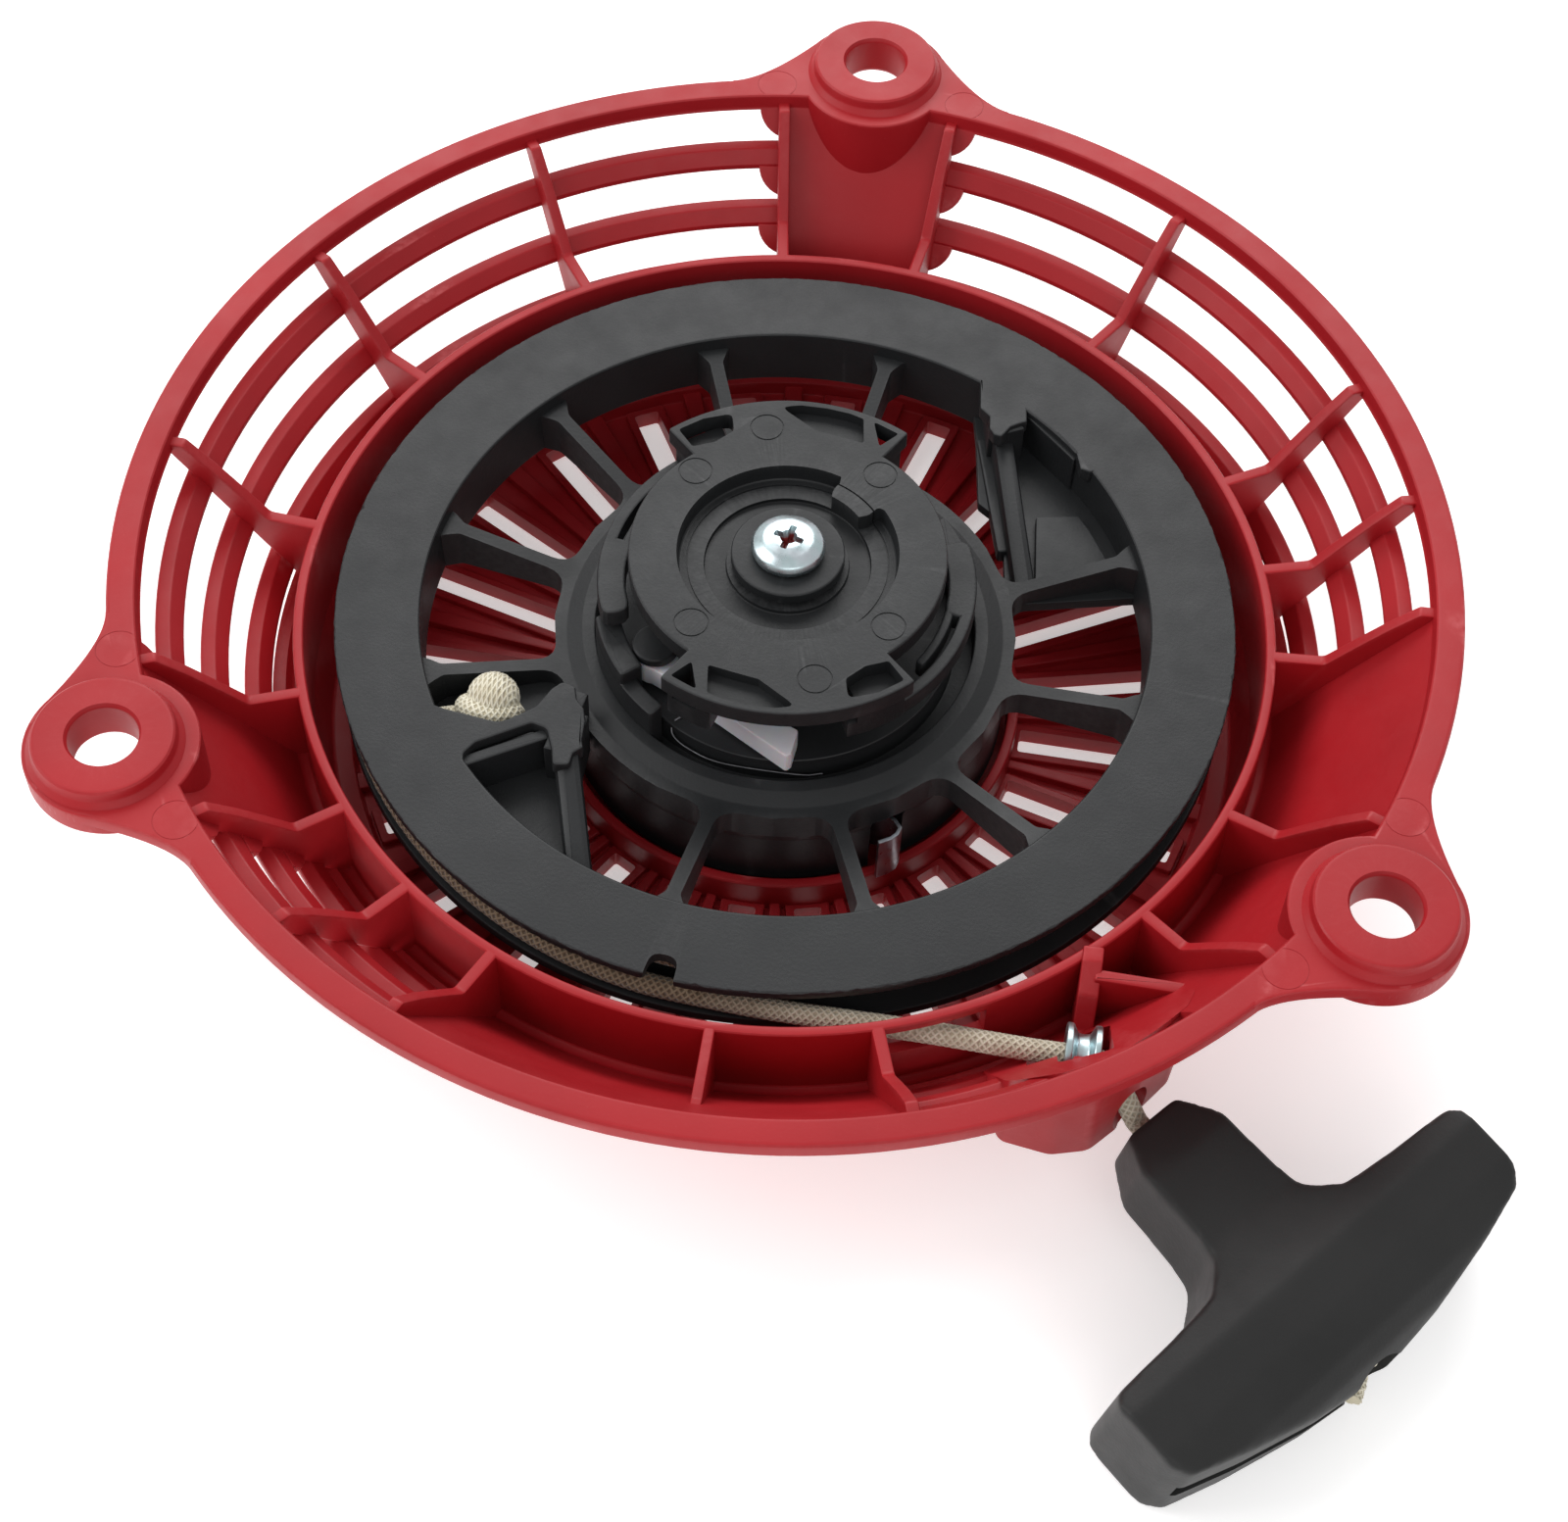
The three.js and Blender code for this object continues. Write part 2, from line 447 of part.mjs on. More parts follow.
const knotAt = [-38.6, -21.6];
const knotHole = tube([new THREE.Vector3(-41, -22.6, ROPE.z), new THREE.Vector3(-53.5, -26.6, ROPE.z)], 1.9,
  2, 10);
const springSlot = sector(29, 38, 301, 309, SPRING.z0 - 2.7, SPRING.z1 + 0.3);
const rimNotch = cylinderAt(...around(REEL.flangeR - 1.2, REEL.notchAt), 1.9, REEL.faceZ - 4,
  REEL.faceZ + 2, 20);
const reelBody = union([reelHub(), reelDrum(), ...SPOKE.left.map(spoke), knotPocket(), facePocket(), guard,
  halfTurn(guard), pivotPin, halfTurn(pivotPin)])
  .subtract(union([knotHole, springSlot, rimNotch, rod(REEL.bore, 0, 60, FACETS),
    ring(REEL.drumR, 80, REEL.grooveZ, REEL.faceZ - REEL.flange - 0.1)]))
  .subtract(rod(REEL.skirtR - REEL.skirtWall, 0, 17.9, FACETS));
addPart('reel', reelBody, BLACK);

const coilTop = REEL.faceZ - REEL.flange - 0.5;
const coilLow = REEL.grooveZ + 0.4;
const coilCorner = 1.4;
addPart('rope_coil', turned([[ROPE.coilR0, coilLow], [ROPE.coilR1 - coilCorner, coilLow],
  [ROPE.coilR1, coilLow + coilCorner], [ROPE.coilR1, coilTop - coilCorner], [ROPE.coilR1 - coilCorner, coilTop],
  [ROPE.coilR0, coilTop]]), CORD);

function blob(x, y, z, rx, ry, rz) {
  return solidOf(new THREE.SphereGeometry(1, 10, 8)).scale([rx, ry, rz]).translate([x, y, z]);
}

const knotTail = tube([new THREE.Vector3(...knotAt, ROPE.z), new THREE.Vector3(-53.2, -26.4, ROPE.z)],
  ROPE.r, 2)
  .subtract(ring(ROPE.coilR0 - GAP, 80, 10, 40));
addPart('reel_knot', union([blob(knotAt[0] - 0.4, knotAt[1] + 1.8, 25.3, 4.5, 4, 3.7), knotTail,
  blob(knotAt[0], knotAt[1] - 1.2, 24.6, 4.4, 2.7, 3.4)]), CORD);

// Flat coil spring with its outer end hooked out through the reel's skirt.
function spiralSpring() {
  const path = [];
  const perTurn = 16;
  const steps = SPRING.turns * perTurn;
  for (let i = 0; i <= steps; i += 1) {
    const share = i / steps;
    const angle = SPRING.endAt + 360 * SPRING.turns * (share - 1);
    path.push(around(SPRING.r0 + (SPRING.r1 - SPRING.r0) * share, angle));
  }
  path.push(around(31.2, 303.6), around(33.8, 305.6), around(35.6, 305.4), around(36.2, 303),
    around(36.2, 299.4));
  path.unshift(around(7.9, SPRING.endAt + 12), around(8.6, SPRING.endAt - 10));
  const side = (sign) => path.map((point, i) => {
    const a = path[Math.max(i - 1, 0)];
    const b = path[Math.min(i + 1, path.length - 1)];
    const length = Math.hypot(b[0] - a[0], b[1] - a[1]);
    const offset = sign * SPRING.thick / 2 / length;
    return [point[0] - (b[1] - a[1]) * offset, point[1] + (b[0] - a[0]) * offset];
  });
  return prism(outline([...side(-1), ...side(1).reverse()]), SPRING.z0, SPRING.z1);
}
addPart('recoil_spring', spiralSpring(), STEEL);

// ---------------------------------------------------------------- pawls and their springs
function pawl() {
  const [px, py] = pawlPivot;
  const shape = new THREE.Shape();
  shape.absarc(px, py, PAWL.bossR, rad(PAWL.bossFrom), rad(PAWL.bossTo), false);
  const nose = [[21.6, 238], [22.6, 252], [28.1, 278.7], [27.4, 279.6], [23, 282.4], [18.4, 252]];
  for (const [r, angle] of nose) {
    shape.lineTo(...around(r, angle));
  }
  const hole = cylinderAt(px, py, PAWL.holeR, 0, 60, 16);
  return prism(shape, PAWL.z0, PAWL.z1, 8).subtract(hole);
}

function pawlSpring() {
  const route = [[26, 240, 21.4], [26.1, 243, 22], [26, 250, 22.8], [26, 258, 23], [26, 270, 22.8],
    [26, 282, 22.4], [26.1, 292, 21.8]];
  return tube(route.map(([r, angle, z]) => new THREE.Vector3(...around(r, angle), z)), PAWL.wireR, 18, 6);
}

addPart('pawl_1', pawl(), NYLON);
addPart('pawl_2', halfTurn(pawl()), NYLON);
addPart('pawl_spring_1', pawlSpring(), STEEL);
addPart('pawl_spring_2', halfTurn(pawlSpring()), STEEL);

// ---------------------------------------------------------------- ratchet guide and its retainer
function lobe() {
  const c = CAP;
  const low = c.top - c.edge;
  const body = sector(c.r - 3, c.lobeR, c.lobeFrom, c.lobeTo, low, c.top);
  const web = sector(c.webR0, c.armR1, c.webFrom, c.webTo, c.armZ0, low + 0.5);
  const wide = outline([around(23.2, 117.3), around(22.6, 125), around(23.4, 134.2), around(27.1, 133.6),
    around(27, 124), around(26, 116.4)]);
  const cam = outline([around(22.9, 69.5), around(22.9, 88.5), around(26.9, 100), around(27.1, 90),
    around(27.1, 80), around(26.6, 74.3)]);
  const small = outline([around(23.8, 63.8), around(26.9, 62), around(27, 70.6)]);
  const openings = [prism(cam, c.top - 1.5, 60), prism(small, 0, 60), prism(wide, low - 1, 60)];
  return body.subtract(union(openings)).add(web.subtract(prism(wide, low - 0.4, 60)));
}

function arm() {
  const c = CAP;
  const [from, to] = [c.armFrom - 180, c.armTo - 180];
  const [tongueFrom, tongueTo] = [c.tongueFrom - 180, c.tongueTo - 180];
  const half = (c.armR1 - c.armR0) / 2;
  const band = sector(c.slotR1, c.armR1, from, to, c.armZ0, c.armZ1);
  const wideBand = sector(c.armR0, c.armR1, tongueTo, to, c.armZ0, c.armZ1);
  const tongue = sector(c.armR0, c.slotR0, tongueFrom, tongueTo + 4, c.armZ0, c.armZ1);
  const end = cylinderAt(...around(c.armR0 + half, to), half, c.armZ0, c.armZ1, 16);
  return union([band, wideBand, tongue, end]);
}

function ratchetGuide() {
  const c = CAP;
  const disc = rod(c.r, c.top - c.edge, c.top, FACETS).add(rod(c.recessR + 1.6, c.under, c.top, FACETS))
    .add(rod(c.hubR, c.hubZ, c.top, 24));
  const neck = prism(outline([around(11.6, 66), around(17, 68), around(17, 41), around(12.4, 44)]), 0, 60);
  const nose = cylinderAt(...around(c.noseAt, c.noseAngle), c.noseR, 0, 60, 24).add(neck);
  const recess = rod(c.recessR, c.recessZ, 60, FACETS).subtract(nose);
  const step = ring(BUSH.r + 0.6, c.grooveR, c.recessZ - c.grooveDepth, 60, 24);
  return union([disc, lobe(), halfTurn(lobe()), arm(), halfTurn(arm())]).subtract(recess)
    .subtract(step).subtract(rod(c.boreR, 0, 60, 24)).subtract(rod(c.hubBore, 0, c.under, 24));
}
addPart('ratchet_guide', ratchetGuide(), BLACK);

const bushProfile = [[BUSH.bore, POST.top + GAP], [BUSH.sleeveR, POST.top + GAP],
  [BUSH.sleeveR, BUSH.top - BUSH.disc], [BUSH.r, BUSH.top - BUSH.disc], [BUSH.r, BUSH.top],
  [BUSH.bore, BUSH.top]];
addPart('retainer_bush', turned(bushProfile, 24), BLACK);

function centreScrew() {
  const top = SCREW.seat + SCREW.headH;
  const body = turned([[0, SCREW.end], [SCREW.shankR - 0.6, SCREW.end], [SCREW.shankR, SCREW.end + 1],
    [SCREW.shankR, SCREW.seat], [SCREW.headR - 0.2, SCREW.seat], [SCREW.headR, SCREW.seat + 1.3],
    [4.3, top - 0.45], [2.2, top - 0.08], [0, top]], 20);
  const slot = bar([-SCREW.slotLen / 2, 0], [SCREW.slotLen / 2, 0], SCREW.slot, top - SCREW.slotDepth,
    top + 2);
  return body.subtract(slot).subtract(slot.rotate([0, 0, 90]));
}
addPart('centre_screw', centreScrew(), ZINC);

function brakeSpring() {
  const points = [];
  const steps = 10 * BRAKE.turns;
  for (let i = 0; i <= steps; i += 1) {
    const z = BRAKE.z0 + (BRAKE.z1 - BRAKE.z0) * i / steps;
    points.push(new THREE.Vector3(...around(BRAKE.r, 360 * BRAKE.turns * i / steps), z));
  }
  return tube(points, BRAKE.wire, 32, 6);
}
addPart('brake_spring', brakeSpring(), STEEL);
addPart('thrust_washer', ring(WASHER.r0, WASHER.r1, WASHER.z0, WASHER.z1, 24), STEEL);

// ---------------------------------------------------------------- T handle
// Drawn flat about the middle of the grip: +X along the stem towards the housing, +Y along the grip.
function gripOutline() {
  const g = GRIP;
  const shape = new THREE.Shape();
  shape.moveTo(g.stemEnd, -g.stemTip);
  shape.lineTo(g.stemEnd, g.stemTip);
  shape.quadraticCurveTo(g.shoulder + 2, g.stemHalf, g.shoulder - 2, g.stemHalf);
  shape.lineTo(12, g.stemHalf);
  shape.quadraticCurveTo(g.innerMid + 0.4, g.stemHalf + 0.4, g.innerMid, 13);
  shape.lineTo(g.inner, g.halfLength - 3);
  shape.quadraticCurveTo(g.inner, g.halfLength, g.inner - 3, g.halfLength);
  shape.lineTo(-g.outerEnd + 2, g.halfLength);
  shape.quadraticCurveTo(-g.outerEnd - 0.4, g.halfLength, -g.outerEnd - 0.8, g.halfLength - 2.6);
  shape.quadraticCurveTo(-g.outer - 0.2, 17, -g.outer, 0);
  shape.quadraticCurveTo(-g.outer - 0.2, -17, -g.outerEnd - 0.8, -g.halfLength + 2.6);
  shape.quadraticCurveTo(-g.outerEnd - 0.4, -g.halfLength, -g.outerEnd + 2, -g.halfLength);
  shape.lineTo(g.inner - 3, -g.halfLength);
  shape.quadraticCurveTo(g.inner, -g.halfLength, g.inner, -g.halfLength + 3);
  shape.lineTo(g.innerMid, -13);
  shape.quadraticCurveTo(g.innerMid + 0.4, -g.stemHalf - 0.4, 12, -g.stemHalf);
  shape.lineTo(g.shoulder - 2, -g.stemHalf);
  shape.quadraticCurveTo(g.shoulder + 2, -g.stemHalf, g.stemEnd, -g.stemTip);
  return shape;
}

// Side view of the grip and its stem, drawn along +X with the grip's thickness upwards.
function gripSide() {
  const g = GRIP;
  const half = g.thick / 2;
  const stem = g.stemThick / 2;
  const upper = [[g.stemEnd + 1, g.stemTip], [g.shoulder, stem], [12, stem], [g.inner - 1, half - 1.2],
    [g.inner - 3, half], [-4, half - 0.2], [-8.5, half - 1.5], [-11.5, half - 3.9], [-13, half - 6.7],
    [-g.outer - 0.2, 0]];
  const lower = upper.slice(0, -1).reverse().map(([x, z]) => [x, -z]);
  return outline([...upper, ...lower]);
}

function gripBody() {
  const g = GRIP;
  const length = g.halfLength + 1;
  const side = prism(gripSide(), -length, length).rotate([90, 0, 0]);
  const rope = rod(ROPE.r + GAP, -40, 40, 12).rotate([0, 90, 0]);
  const slotBox = new THREE.BoxGeometry(2 * g.slotDeep, 2 * g.slotHalf, g.slotWidth);
  const slot = solidOf(slotBox).translate([-g.outer, 0, 0]);
  const knotRoom = solidOf(new THREE.BoxGeometry(9, g.knotRoom, 9)).translate([-9.4, 0, 0]);
  return prism(gripOutline(), -g.thick, g.thick, 5).intersect(side).subtract(rope).subtract(slot)
    .subtract(knotRoom);
}

function handleRope() {
  const line = rod(ROPE.r, -8, GRIP.stemEnd, 12).rotate([0, 90, 0]);
  return union([line, blob(-9.2, -0.8, 0, 3.2, 3.6, 3.6), blob(-10.2, 1.2, 0.3, 2.6, 2.9, 3.1)]);
}

const yaw = rad(GRIP.yaw);
const tilt = rad(GRIP.tilt);
const reach = GRIP.stemEnd + GRIP.ropeGap;
const handle = new THREE.Group();
handle.rotation.set(0, -tilt, yaw, 'ZYX');
handle.position.set(EXIT.x - reach * Math.cos(tilt) * Math.cos(yaw),
  EXIT.y - reach * Math.cos(tilt) * Math.sin(yaw), EXIT.z - reach * Math.sin(tilt));
starter.add(handle);
addPart('handle_grip', gripBody(), BLACK, handle);
addPart('handle_rope', handleRope(), CORD, handle);

export default starter;
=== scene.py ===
"""Looks of a recoil starter for a small engine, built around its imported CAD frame.

Shapes are drawn in millimetres about the reel axis and scaled to metres when they are placed.
"""

import math

import bmesh
import bpy
from mathutils import Matrix, Vector, noise


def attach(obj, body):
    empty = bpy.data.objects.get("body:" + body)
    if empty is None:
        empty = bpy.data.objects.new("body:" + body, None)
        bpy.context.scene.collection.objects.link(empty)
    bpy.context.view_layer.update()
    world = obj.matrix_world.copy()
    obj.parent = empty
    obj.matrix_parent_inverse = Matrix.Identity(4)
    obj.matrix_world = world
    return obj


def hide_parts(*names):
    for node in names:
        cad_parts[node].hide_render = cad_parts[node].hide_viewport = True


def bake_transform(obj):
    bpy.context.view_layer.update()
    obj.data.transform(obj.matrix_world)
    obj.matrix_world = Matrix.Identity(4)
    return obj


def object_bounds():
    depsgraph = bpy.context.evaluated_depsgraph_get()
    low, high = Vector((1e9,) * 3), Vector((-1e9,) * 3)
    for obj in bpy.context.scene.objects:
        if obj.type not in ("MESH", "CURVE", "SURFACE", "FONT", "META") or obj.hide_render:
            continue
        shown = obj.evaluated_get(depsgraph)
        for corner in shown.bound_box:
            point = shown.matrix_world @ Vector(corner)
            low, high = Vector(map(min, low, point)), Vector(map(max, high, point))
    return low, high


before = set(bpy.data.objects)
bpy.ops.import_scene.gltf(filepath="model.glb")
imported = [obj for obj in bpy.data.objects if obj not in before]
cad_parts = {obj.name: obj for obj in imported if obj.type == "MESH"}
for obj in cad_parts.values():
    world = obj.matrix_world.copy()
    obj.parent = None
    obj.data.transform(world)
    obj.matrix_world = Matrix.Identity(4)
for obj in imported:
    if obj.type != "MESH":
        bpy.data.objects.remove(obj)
cad_low, cad_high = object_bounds()

MM = 0.001
ROUND = 192

# ------------ sizes, in millimetres
EARS = (90, 210, 330)
EAR_HOLE_AT, EAR_HOLE_R, EAR_BOSS_AT, EAR_BOSS_R, EAR_BOSS_LOW = 96.9, 4.7, 96.15, 11.75, 37.8
CONE_LOW = (70.9, 12.4)
CONE_TOP = (89.6, 39.6)
RIM_R, RIM_TOP = 94, 42
PAD_TOP = 44.4
LOUVRE_PITCH = 7.6
LOUVRE_SECTORS = ((2, 81.5), (98.5, 201.5), (218.5, 244.5), (288, 313.5))
GUSSETS = (2, 15, 29, 56, 81.5, 98.5, 124.5, 150, 176.5, 201.5, 218.5, 231.5, 244.5, 288, 321.5, 338.5)
DRUM_OUT, DRUM_IN, DRUM_TOP = 70.3, 68.8, 27.2
FLOOR_TOP, FLOOR_SUNK = 2.0, 1.4
FRAME_Z, RIB_Z = (FLOOR_SUNK, 2.9), (FLOOR_SUNK, 3.3)
WELL_IN, WELL_OUT, WELL_TOP = 33.6, 35.2, 7.8
POST_R, POST_TOP, SCREW_HOLE_R = 7, 34.5, 3.2
SLOT_COUNT, SLOT_FIRST, SLOT_IN, SLOT_OUT, SLOT_WIDTH = 24, 14, 35.8, 62, 4.0
EYE = Vector((48.4, -64.6, 23.4))
EYE_PLACE = Matrix.Translation(EYE) @ Matrix.Rotation(math.pi / 2, 4, "Y")
ROPE_R = 1.55
ROPE_Z = 23.1
LAP_R = 62.35
EXIT = Vector((56.9, -68.7, 15.6))
GUIDE_ROOM_R = 3.2
FACE_Z = 27.9
WEB_LOW, WEB_TOP = 18.4, 25.7
POCKET_TOP = 20.2
PIVOT_R, PIVOT_AT = 20.5, 214
CAP_R, CAP_LOW, CAP_TOP = 22.4, 37, 40
BAND_R, ARM_LOW = 26.9, 31
BUSH_R = 8
GRIP_YAW, GRIP_TILT, GRIP_REACH = 139.2, 8.6, 31.2


def polar(r, degrees, z=None):
    a = math.radians(degrees)
    point = (r * math.cos(a), r * math.sin(a))
    return point if z is None else Vector((*point, z))


def on(r, degrees, corner):
    """A corner of an outline, given by radius and angle."""
    return (*polar(r, degrees), corner)


def cone_r(z):
    share = (z - CONE_LOW[1]) / (CONE_TOP[1] - CONE_LOW[1])
    return CONE_LOW[0] + (CONE_TOP[0] - CONE_LOW[0]) * share


# ------------ solids
def solid(bm):
    bmesh.ops.recalc_face_normals(bm, faces=bm.faces)
    mesh = bpy.data.meshes.new("tool")
    bm.to_mesh(mesh)
    bm.free()
    obj = bpy.data.objects.new("tool", mesh)
    bpy.context.scene.collection.objects.link(obj)
    return obj


def fillet(points, radius=0.4, steps=3):
    """The closed outline with its corners rounded; a third value in a point is that corner's own radius."""
    out = []
    count = len(points)
    for i, point in enumerate(points):
        r = point[2] if len(point) > 2 else radius
        p = Vector(point[:2])
        before = Vector(points[i - 1][:2]) - p
        after = Vector(points[(i + 1) % count][:2]) - p
        if (r <= 0 or before.length < 1e-6 or after.length < 1e-6
                or before.angle(after) / 2 > math.radians(88)):
            out.append(tuple(p))
            continue
        half = before.angle(after) / 2
        cut = min(r / math.tan(half), 0.46 * before.length, 0.46 * after.length)
        start = p + before.normalized() * cut
        end = p + after.normalized() * cut
        for k in range(steps + 1):
            t = k / steps
            out.append(tuple(start * (1 - t) ** 2 + p * 2 * t * (1 - t) + end * t * t))
    return out


def lathe(profile, start=0, end=360, segments=ROUND, radius=0.35, wobble=None):
    """Turns a closed outline of (radius, height) points about Z, all the way or between two angles."""
    outline = fillet([p if p[0] > 0 else (*p[:2], 0) for p in profile], radius)
    whole = end - start >= 360
    count = segments if whole else max(3, round(segments * (end - start) / 360))
    bm = bmesh.new()
    rows = []
    for r, z in outline:
        if r < 1e-6:
            rows.append([bm.verts.new((0, 0, z))])
            continue
        row = []
        for i in range(count if whole else count + 1):
            degrees = start + (end - start) * i / count
            row.append(bm.verts.new(polar(r + (wobble(r, z, degrees) if wobble else 0), degrees, z)))
        rows.append(row)
    for j, row in enumerate(rows):
        other = rows[(j + 1) % len(rows)]
        if len(row) == 1 and len(other) == 1:
            continue
        for i in range(count):
            k = (i + 1) % count if whole else i + 1
            corners = [row[i % len(row)], row[k % len(row)], other[k % len(other)], other[i % len(other)]]
            unique = list(dict.fromkeys(corners))
            if len(unique) > 2:
                bm.faces.new(unique)
    if not whole:
        for i in (0, count):
            bm.faces.new(list(dict.fromkeys(row[i % len(row)] for row in rows)))
    return solid(bm)


def prism(points, low, high, edge=0.3, radius=0.4, steps=3):
    """A flat outline pushed up from low to high, with its upper and lower edges rounded."""
    outline = [Vector(p) for p in (fillet(points, radius, steps) if radius else [p[:2] for p in points])]
    count = len(outline)
    area = sum(outline[i - 1].cross(outline[i]) for i in range(count))
    side = 1 if area > 0 else -1
    inwards = []
    for i, p in enumerate(outline):
        a = (p - outline[i - 1]).normalized()
        b = (outline[(i + 1) % count] - p).normalized()
        normal = Vector((-(a.y + b.y), a.x + b.x)) * side
        if normal.length < 1e-6:
            normal = Vector((-a.y, a.x)) * side
        normal.normalize()
        inwards.append(normal / max(0.35, normal.dot(Vector((-a.y, a.x)) * side)))
    edge = min(edge, (high - low) / 2.2)
    layers = [(low, 1), (low + 0.3 * edge, 0.3), (low + edge, 0), (high - edge, 0),
              (high - 0.3 * edge, 0.3), (high, 1)]
    if edge <= 0:
        layers = [(low, 0), (high, 0)]
    bm = bmesh.new()
    rows = [[bm.verts.new((*(p + n * inset * edge), z)) for p, n in zip(outline, inwards)]
            for z, inset in layers]
    for below, above in zip(rows, rows[1:]):
        for i in range(count):
            j = (i + 1) % count
            bm.faces.new((below[i], below[j], above[j], above[i]))
    bm.faces.new(rows[0])
    bm.faces.new(rows[-1])
    return solid(bm)


def moved(obj, matrix):
    obj.data.transform(matrix)
    return obj


def turned(obj, degrees, axis="Z"):
    return moved(obj, Matrix.Rotation(math.radians(degrees), 4, axis))


def shifted(obj, x, y, z=0):
    return moved(obj, Matrix.Translation((x, y, z)))


def copy(obj, degrees):
    twin = bpy.data.objects.new(obj.name, obj.data.copy())
    bpy.context.scene.collection.objects.link(twin)
    return turned(twin, degrees)


def disc(r, low, high, at=(0, 0), edge=0.3, segments=48):
    return shifted(lathe([(0, low), (r, low), (r, high), (0, high)], segments=segments, radius=edge), *at)


def tube_ring(r0, r1, low, high, segments=ROUND, edge=0.3):
    return lathe([(r0, low), (r1, low), (r1, high), (r0, high)], segments=segments, radius=edge)


def arc_between(r, start, end, corner=0.0, step=1.5):
    """Points along an arc; its end corners get a radius, and the samples next to them keep clear."""
    clear = math.degrees(2.2 * corner / r)
    low, high = start + clear, end - clear
    if high <= low:
        middle = [(*polar(r, (start + end) / 2), 0)]
    else:
        count = max(1, round((high - low) / step))
        middle = [(*polar(r, low + (high - low) * i / count), 0) for i in range(count + 1)]
        if corner == 0:
            middle = middle[1:-1]
    return [(*polar(r, start), corner), *middle, (*polar(r, end), corner)]


def sector_points(r0, r1, start, end, corner=0.0, step=1.5):
    return arc_between(r1, start, end, corner, step) + arc_between(r0, start, end, corner, step)[::-1]


def sector(r0, r1, start, end, low, high, edge=0.3, corner=0.0):
    return prism(sector_points(r0, r1, start, end, corner), low, high, edge, 0.0 if corner == 0 else 0.0001)


def bar(a, b, width, low, high, edge=0.3, radius=0.3):
    a, b = Vector(a), Vector(b)
    side = (b - a).normalized().orthogonal() * width / 2
    return prism([a - side, b - side, b + side, a + side], low, high, edge, radius)


def plate(profile, thick, degrees=0, edge=0.4, radius=0.6):
    """An upright plate, drawn as (distance, height) points, standing along an angle."""
    obj = prism(profile, -thick / 2, thick / 2, edge, radius)
    return turned(turned(obj, 90, "X"), degrees)


def tube(points, r, sides=12, shape=None):
    """A round bar along a list of points; shape(along, around) can raise its surface."""
    points = [Vector(p) for p in points]
    bm = bmesh.new()
    rows = []
    tangent = (points[1] - points[0]).normalized()
    normal = tangent.orthogonal().normalized()
    along = 0.0
    uvs = []
    for i, p in enumerate(points):
        ahead = points[min(i + 1, len(points) - 1)] - points[max(i - 1, 0)]
        tangent = ahead.normalized()
        normal = (normal - tangent * normal.dot(tangent)).normalized()
        across = tangent.cross(normal)
        if i:
            along += (p - points[i - 1]).length
        row = []
        for k in range(sides):
            a = 2 * math.pi * k / sides
            lift = shape(along, a) if shape else 0
            row.append(bm.verts.new(p + (normal * math.cos(a) + across * math.sin(a)) * (r + lift)))
        rows.append(row)
        uvs.append(along)
    layer = bm.loops.layers.uv.new("along")
    for i, (row, other) in enumerate(zip(rows, rows[1:])):
        for k in range(sides):
            j = (k + 1) % sides
            face = bm.faces.new((row[k], row[j], other[j], other[k]))
            for loop, uv in zip(face.loops,
                                ((uvs[i], k), (uvs[i], k + 1), (uvs[i + 1], k + 1), (uvs[i + 1], k))):
                loop[layer].uv = (uv[0] / 10, uv[1] / sides)
    bm.faces.new(rows[0])
    bm.faces.new(rows[-1])
    return solid(bm)


def smooth_path(points, step=0.4):
    """Evenly spaced points on a smooth curve through the given ones."""
    points = [Vector(p) for p in points]
    ends = [points[0] * 2 - points[1], *points, points[-1] * 2 - points[-2]]
    dense = []
    for i in range(1, len(ends) - 2):
        p0, p1, p2, p3 = ends[i - 1 : i + 3]
        for k in range(24):
            t = k / 24
            dense.append(0.5 * (2 * p1 + (p2 - p0) * t + (2 * p0 - 5 * p1 + 4 * p2 - p3) * t * t
                                + (3 * p1 - p0 - 3 * p2 + p3) * t * t * t))
    dense.append(points[-1])
    out, travelled = [dense[0]], 0.0
    for a, b in zip(dense, dense[1:]):
        length = (b - a).length
        while length > 1e-9 and travelled + length >= step:
            share = (step - travelled) / length
            a = a.lerp(b, share)
            length = (b - a).length
            travelled = 0.0
            out.append(a.copy())
        travelled += length
    if (out[-1] - points[-1]).length > step * 0.3:
        out.append(points[-1])
    return out


def applied(obj):
    """Turns what the modifiers make into the object's own mesh."""
    graph = bpy.context.evaluated_depsgraph_get()
    mesh = bpy.data.meshes.new_from_object(obj.evaluated_get(graph))
    obj.modifiers.clear()
    obj.data = mesh
    return obj


def boolean(base, tools, operation):
    for tool in tools:
        modifier = base.modifiers.new("join", "BOOLEAN")
        modifier.operation = operation
        modifier.solver = "MANIFOLD"
        modifier.object = tool
    applied(base)
    for tool in tools:
        bpy.data.objects.remove(tool)
    return base


def add(base, *tools):
    return boolean(base, tools, "UNION")


def cut(base, *tools):
    return boolean(base, tools, "DIFFERENCE")


def keep(base, tool):
    return boolean(base, [tool], "INTERSECT")


def together(objects):
    """One mesh from solids that don't touch each other."""
    bm = bmesh.new()
    for obj in objects:
        bm.from_mesh(obj.data)
        bpy.data.objects.remove(obj)
    return solid(bm)


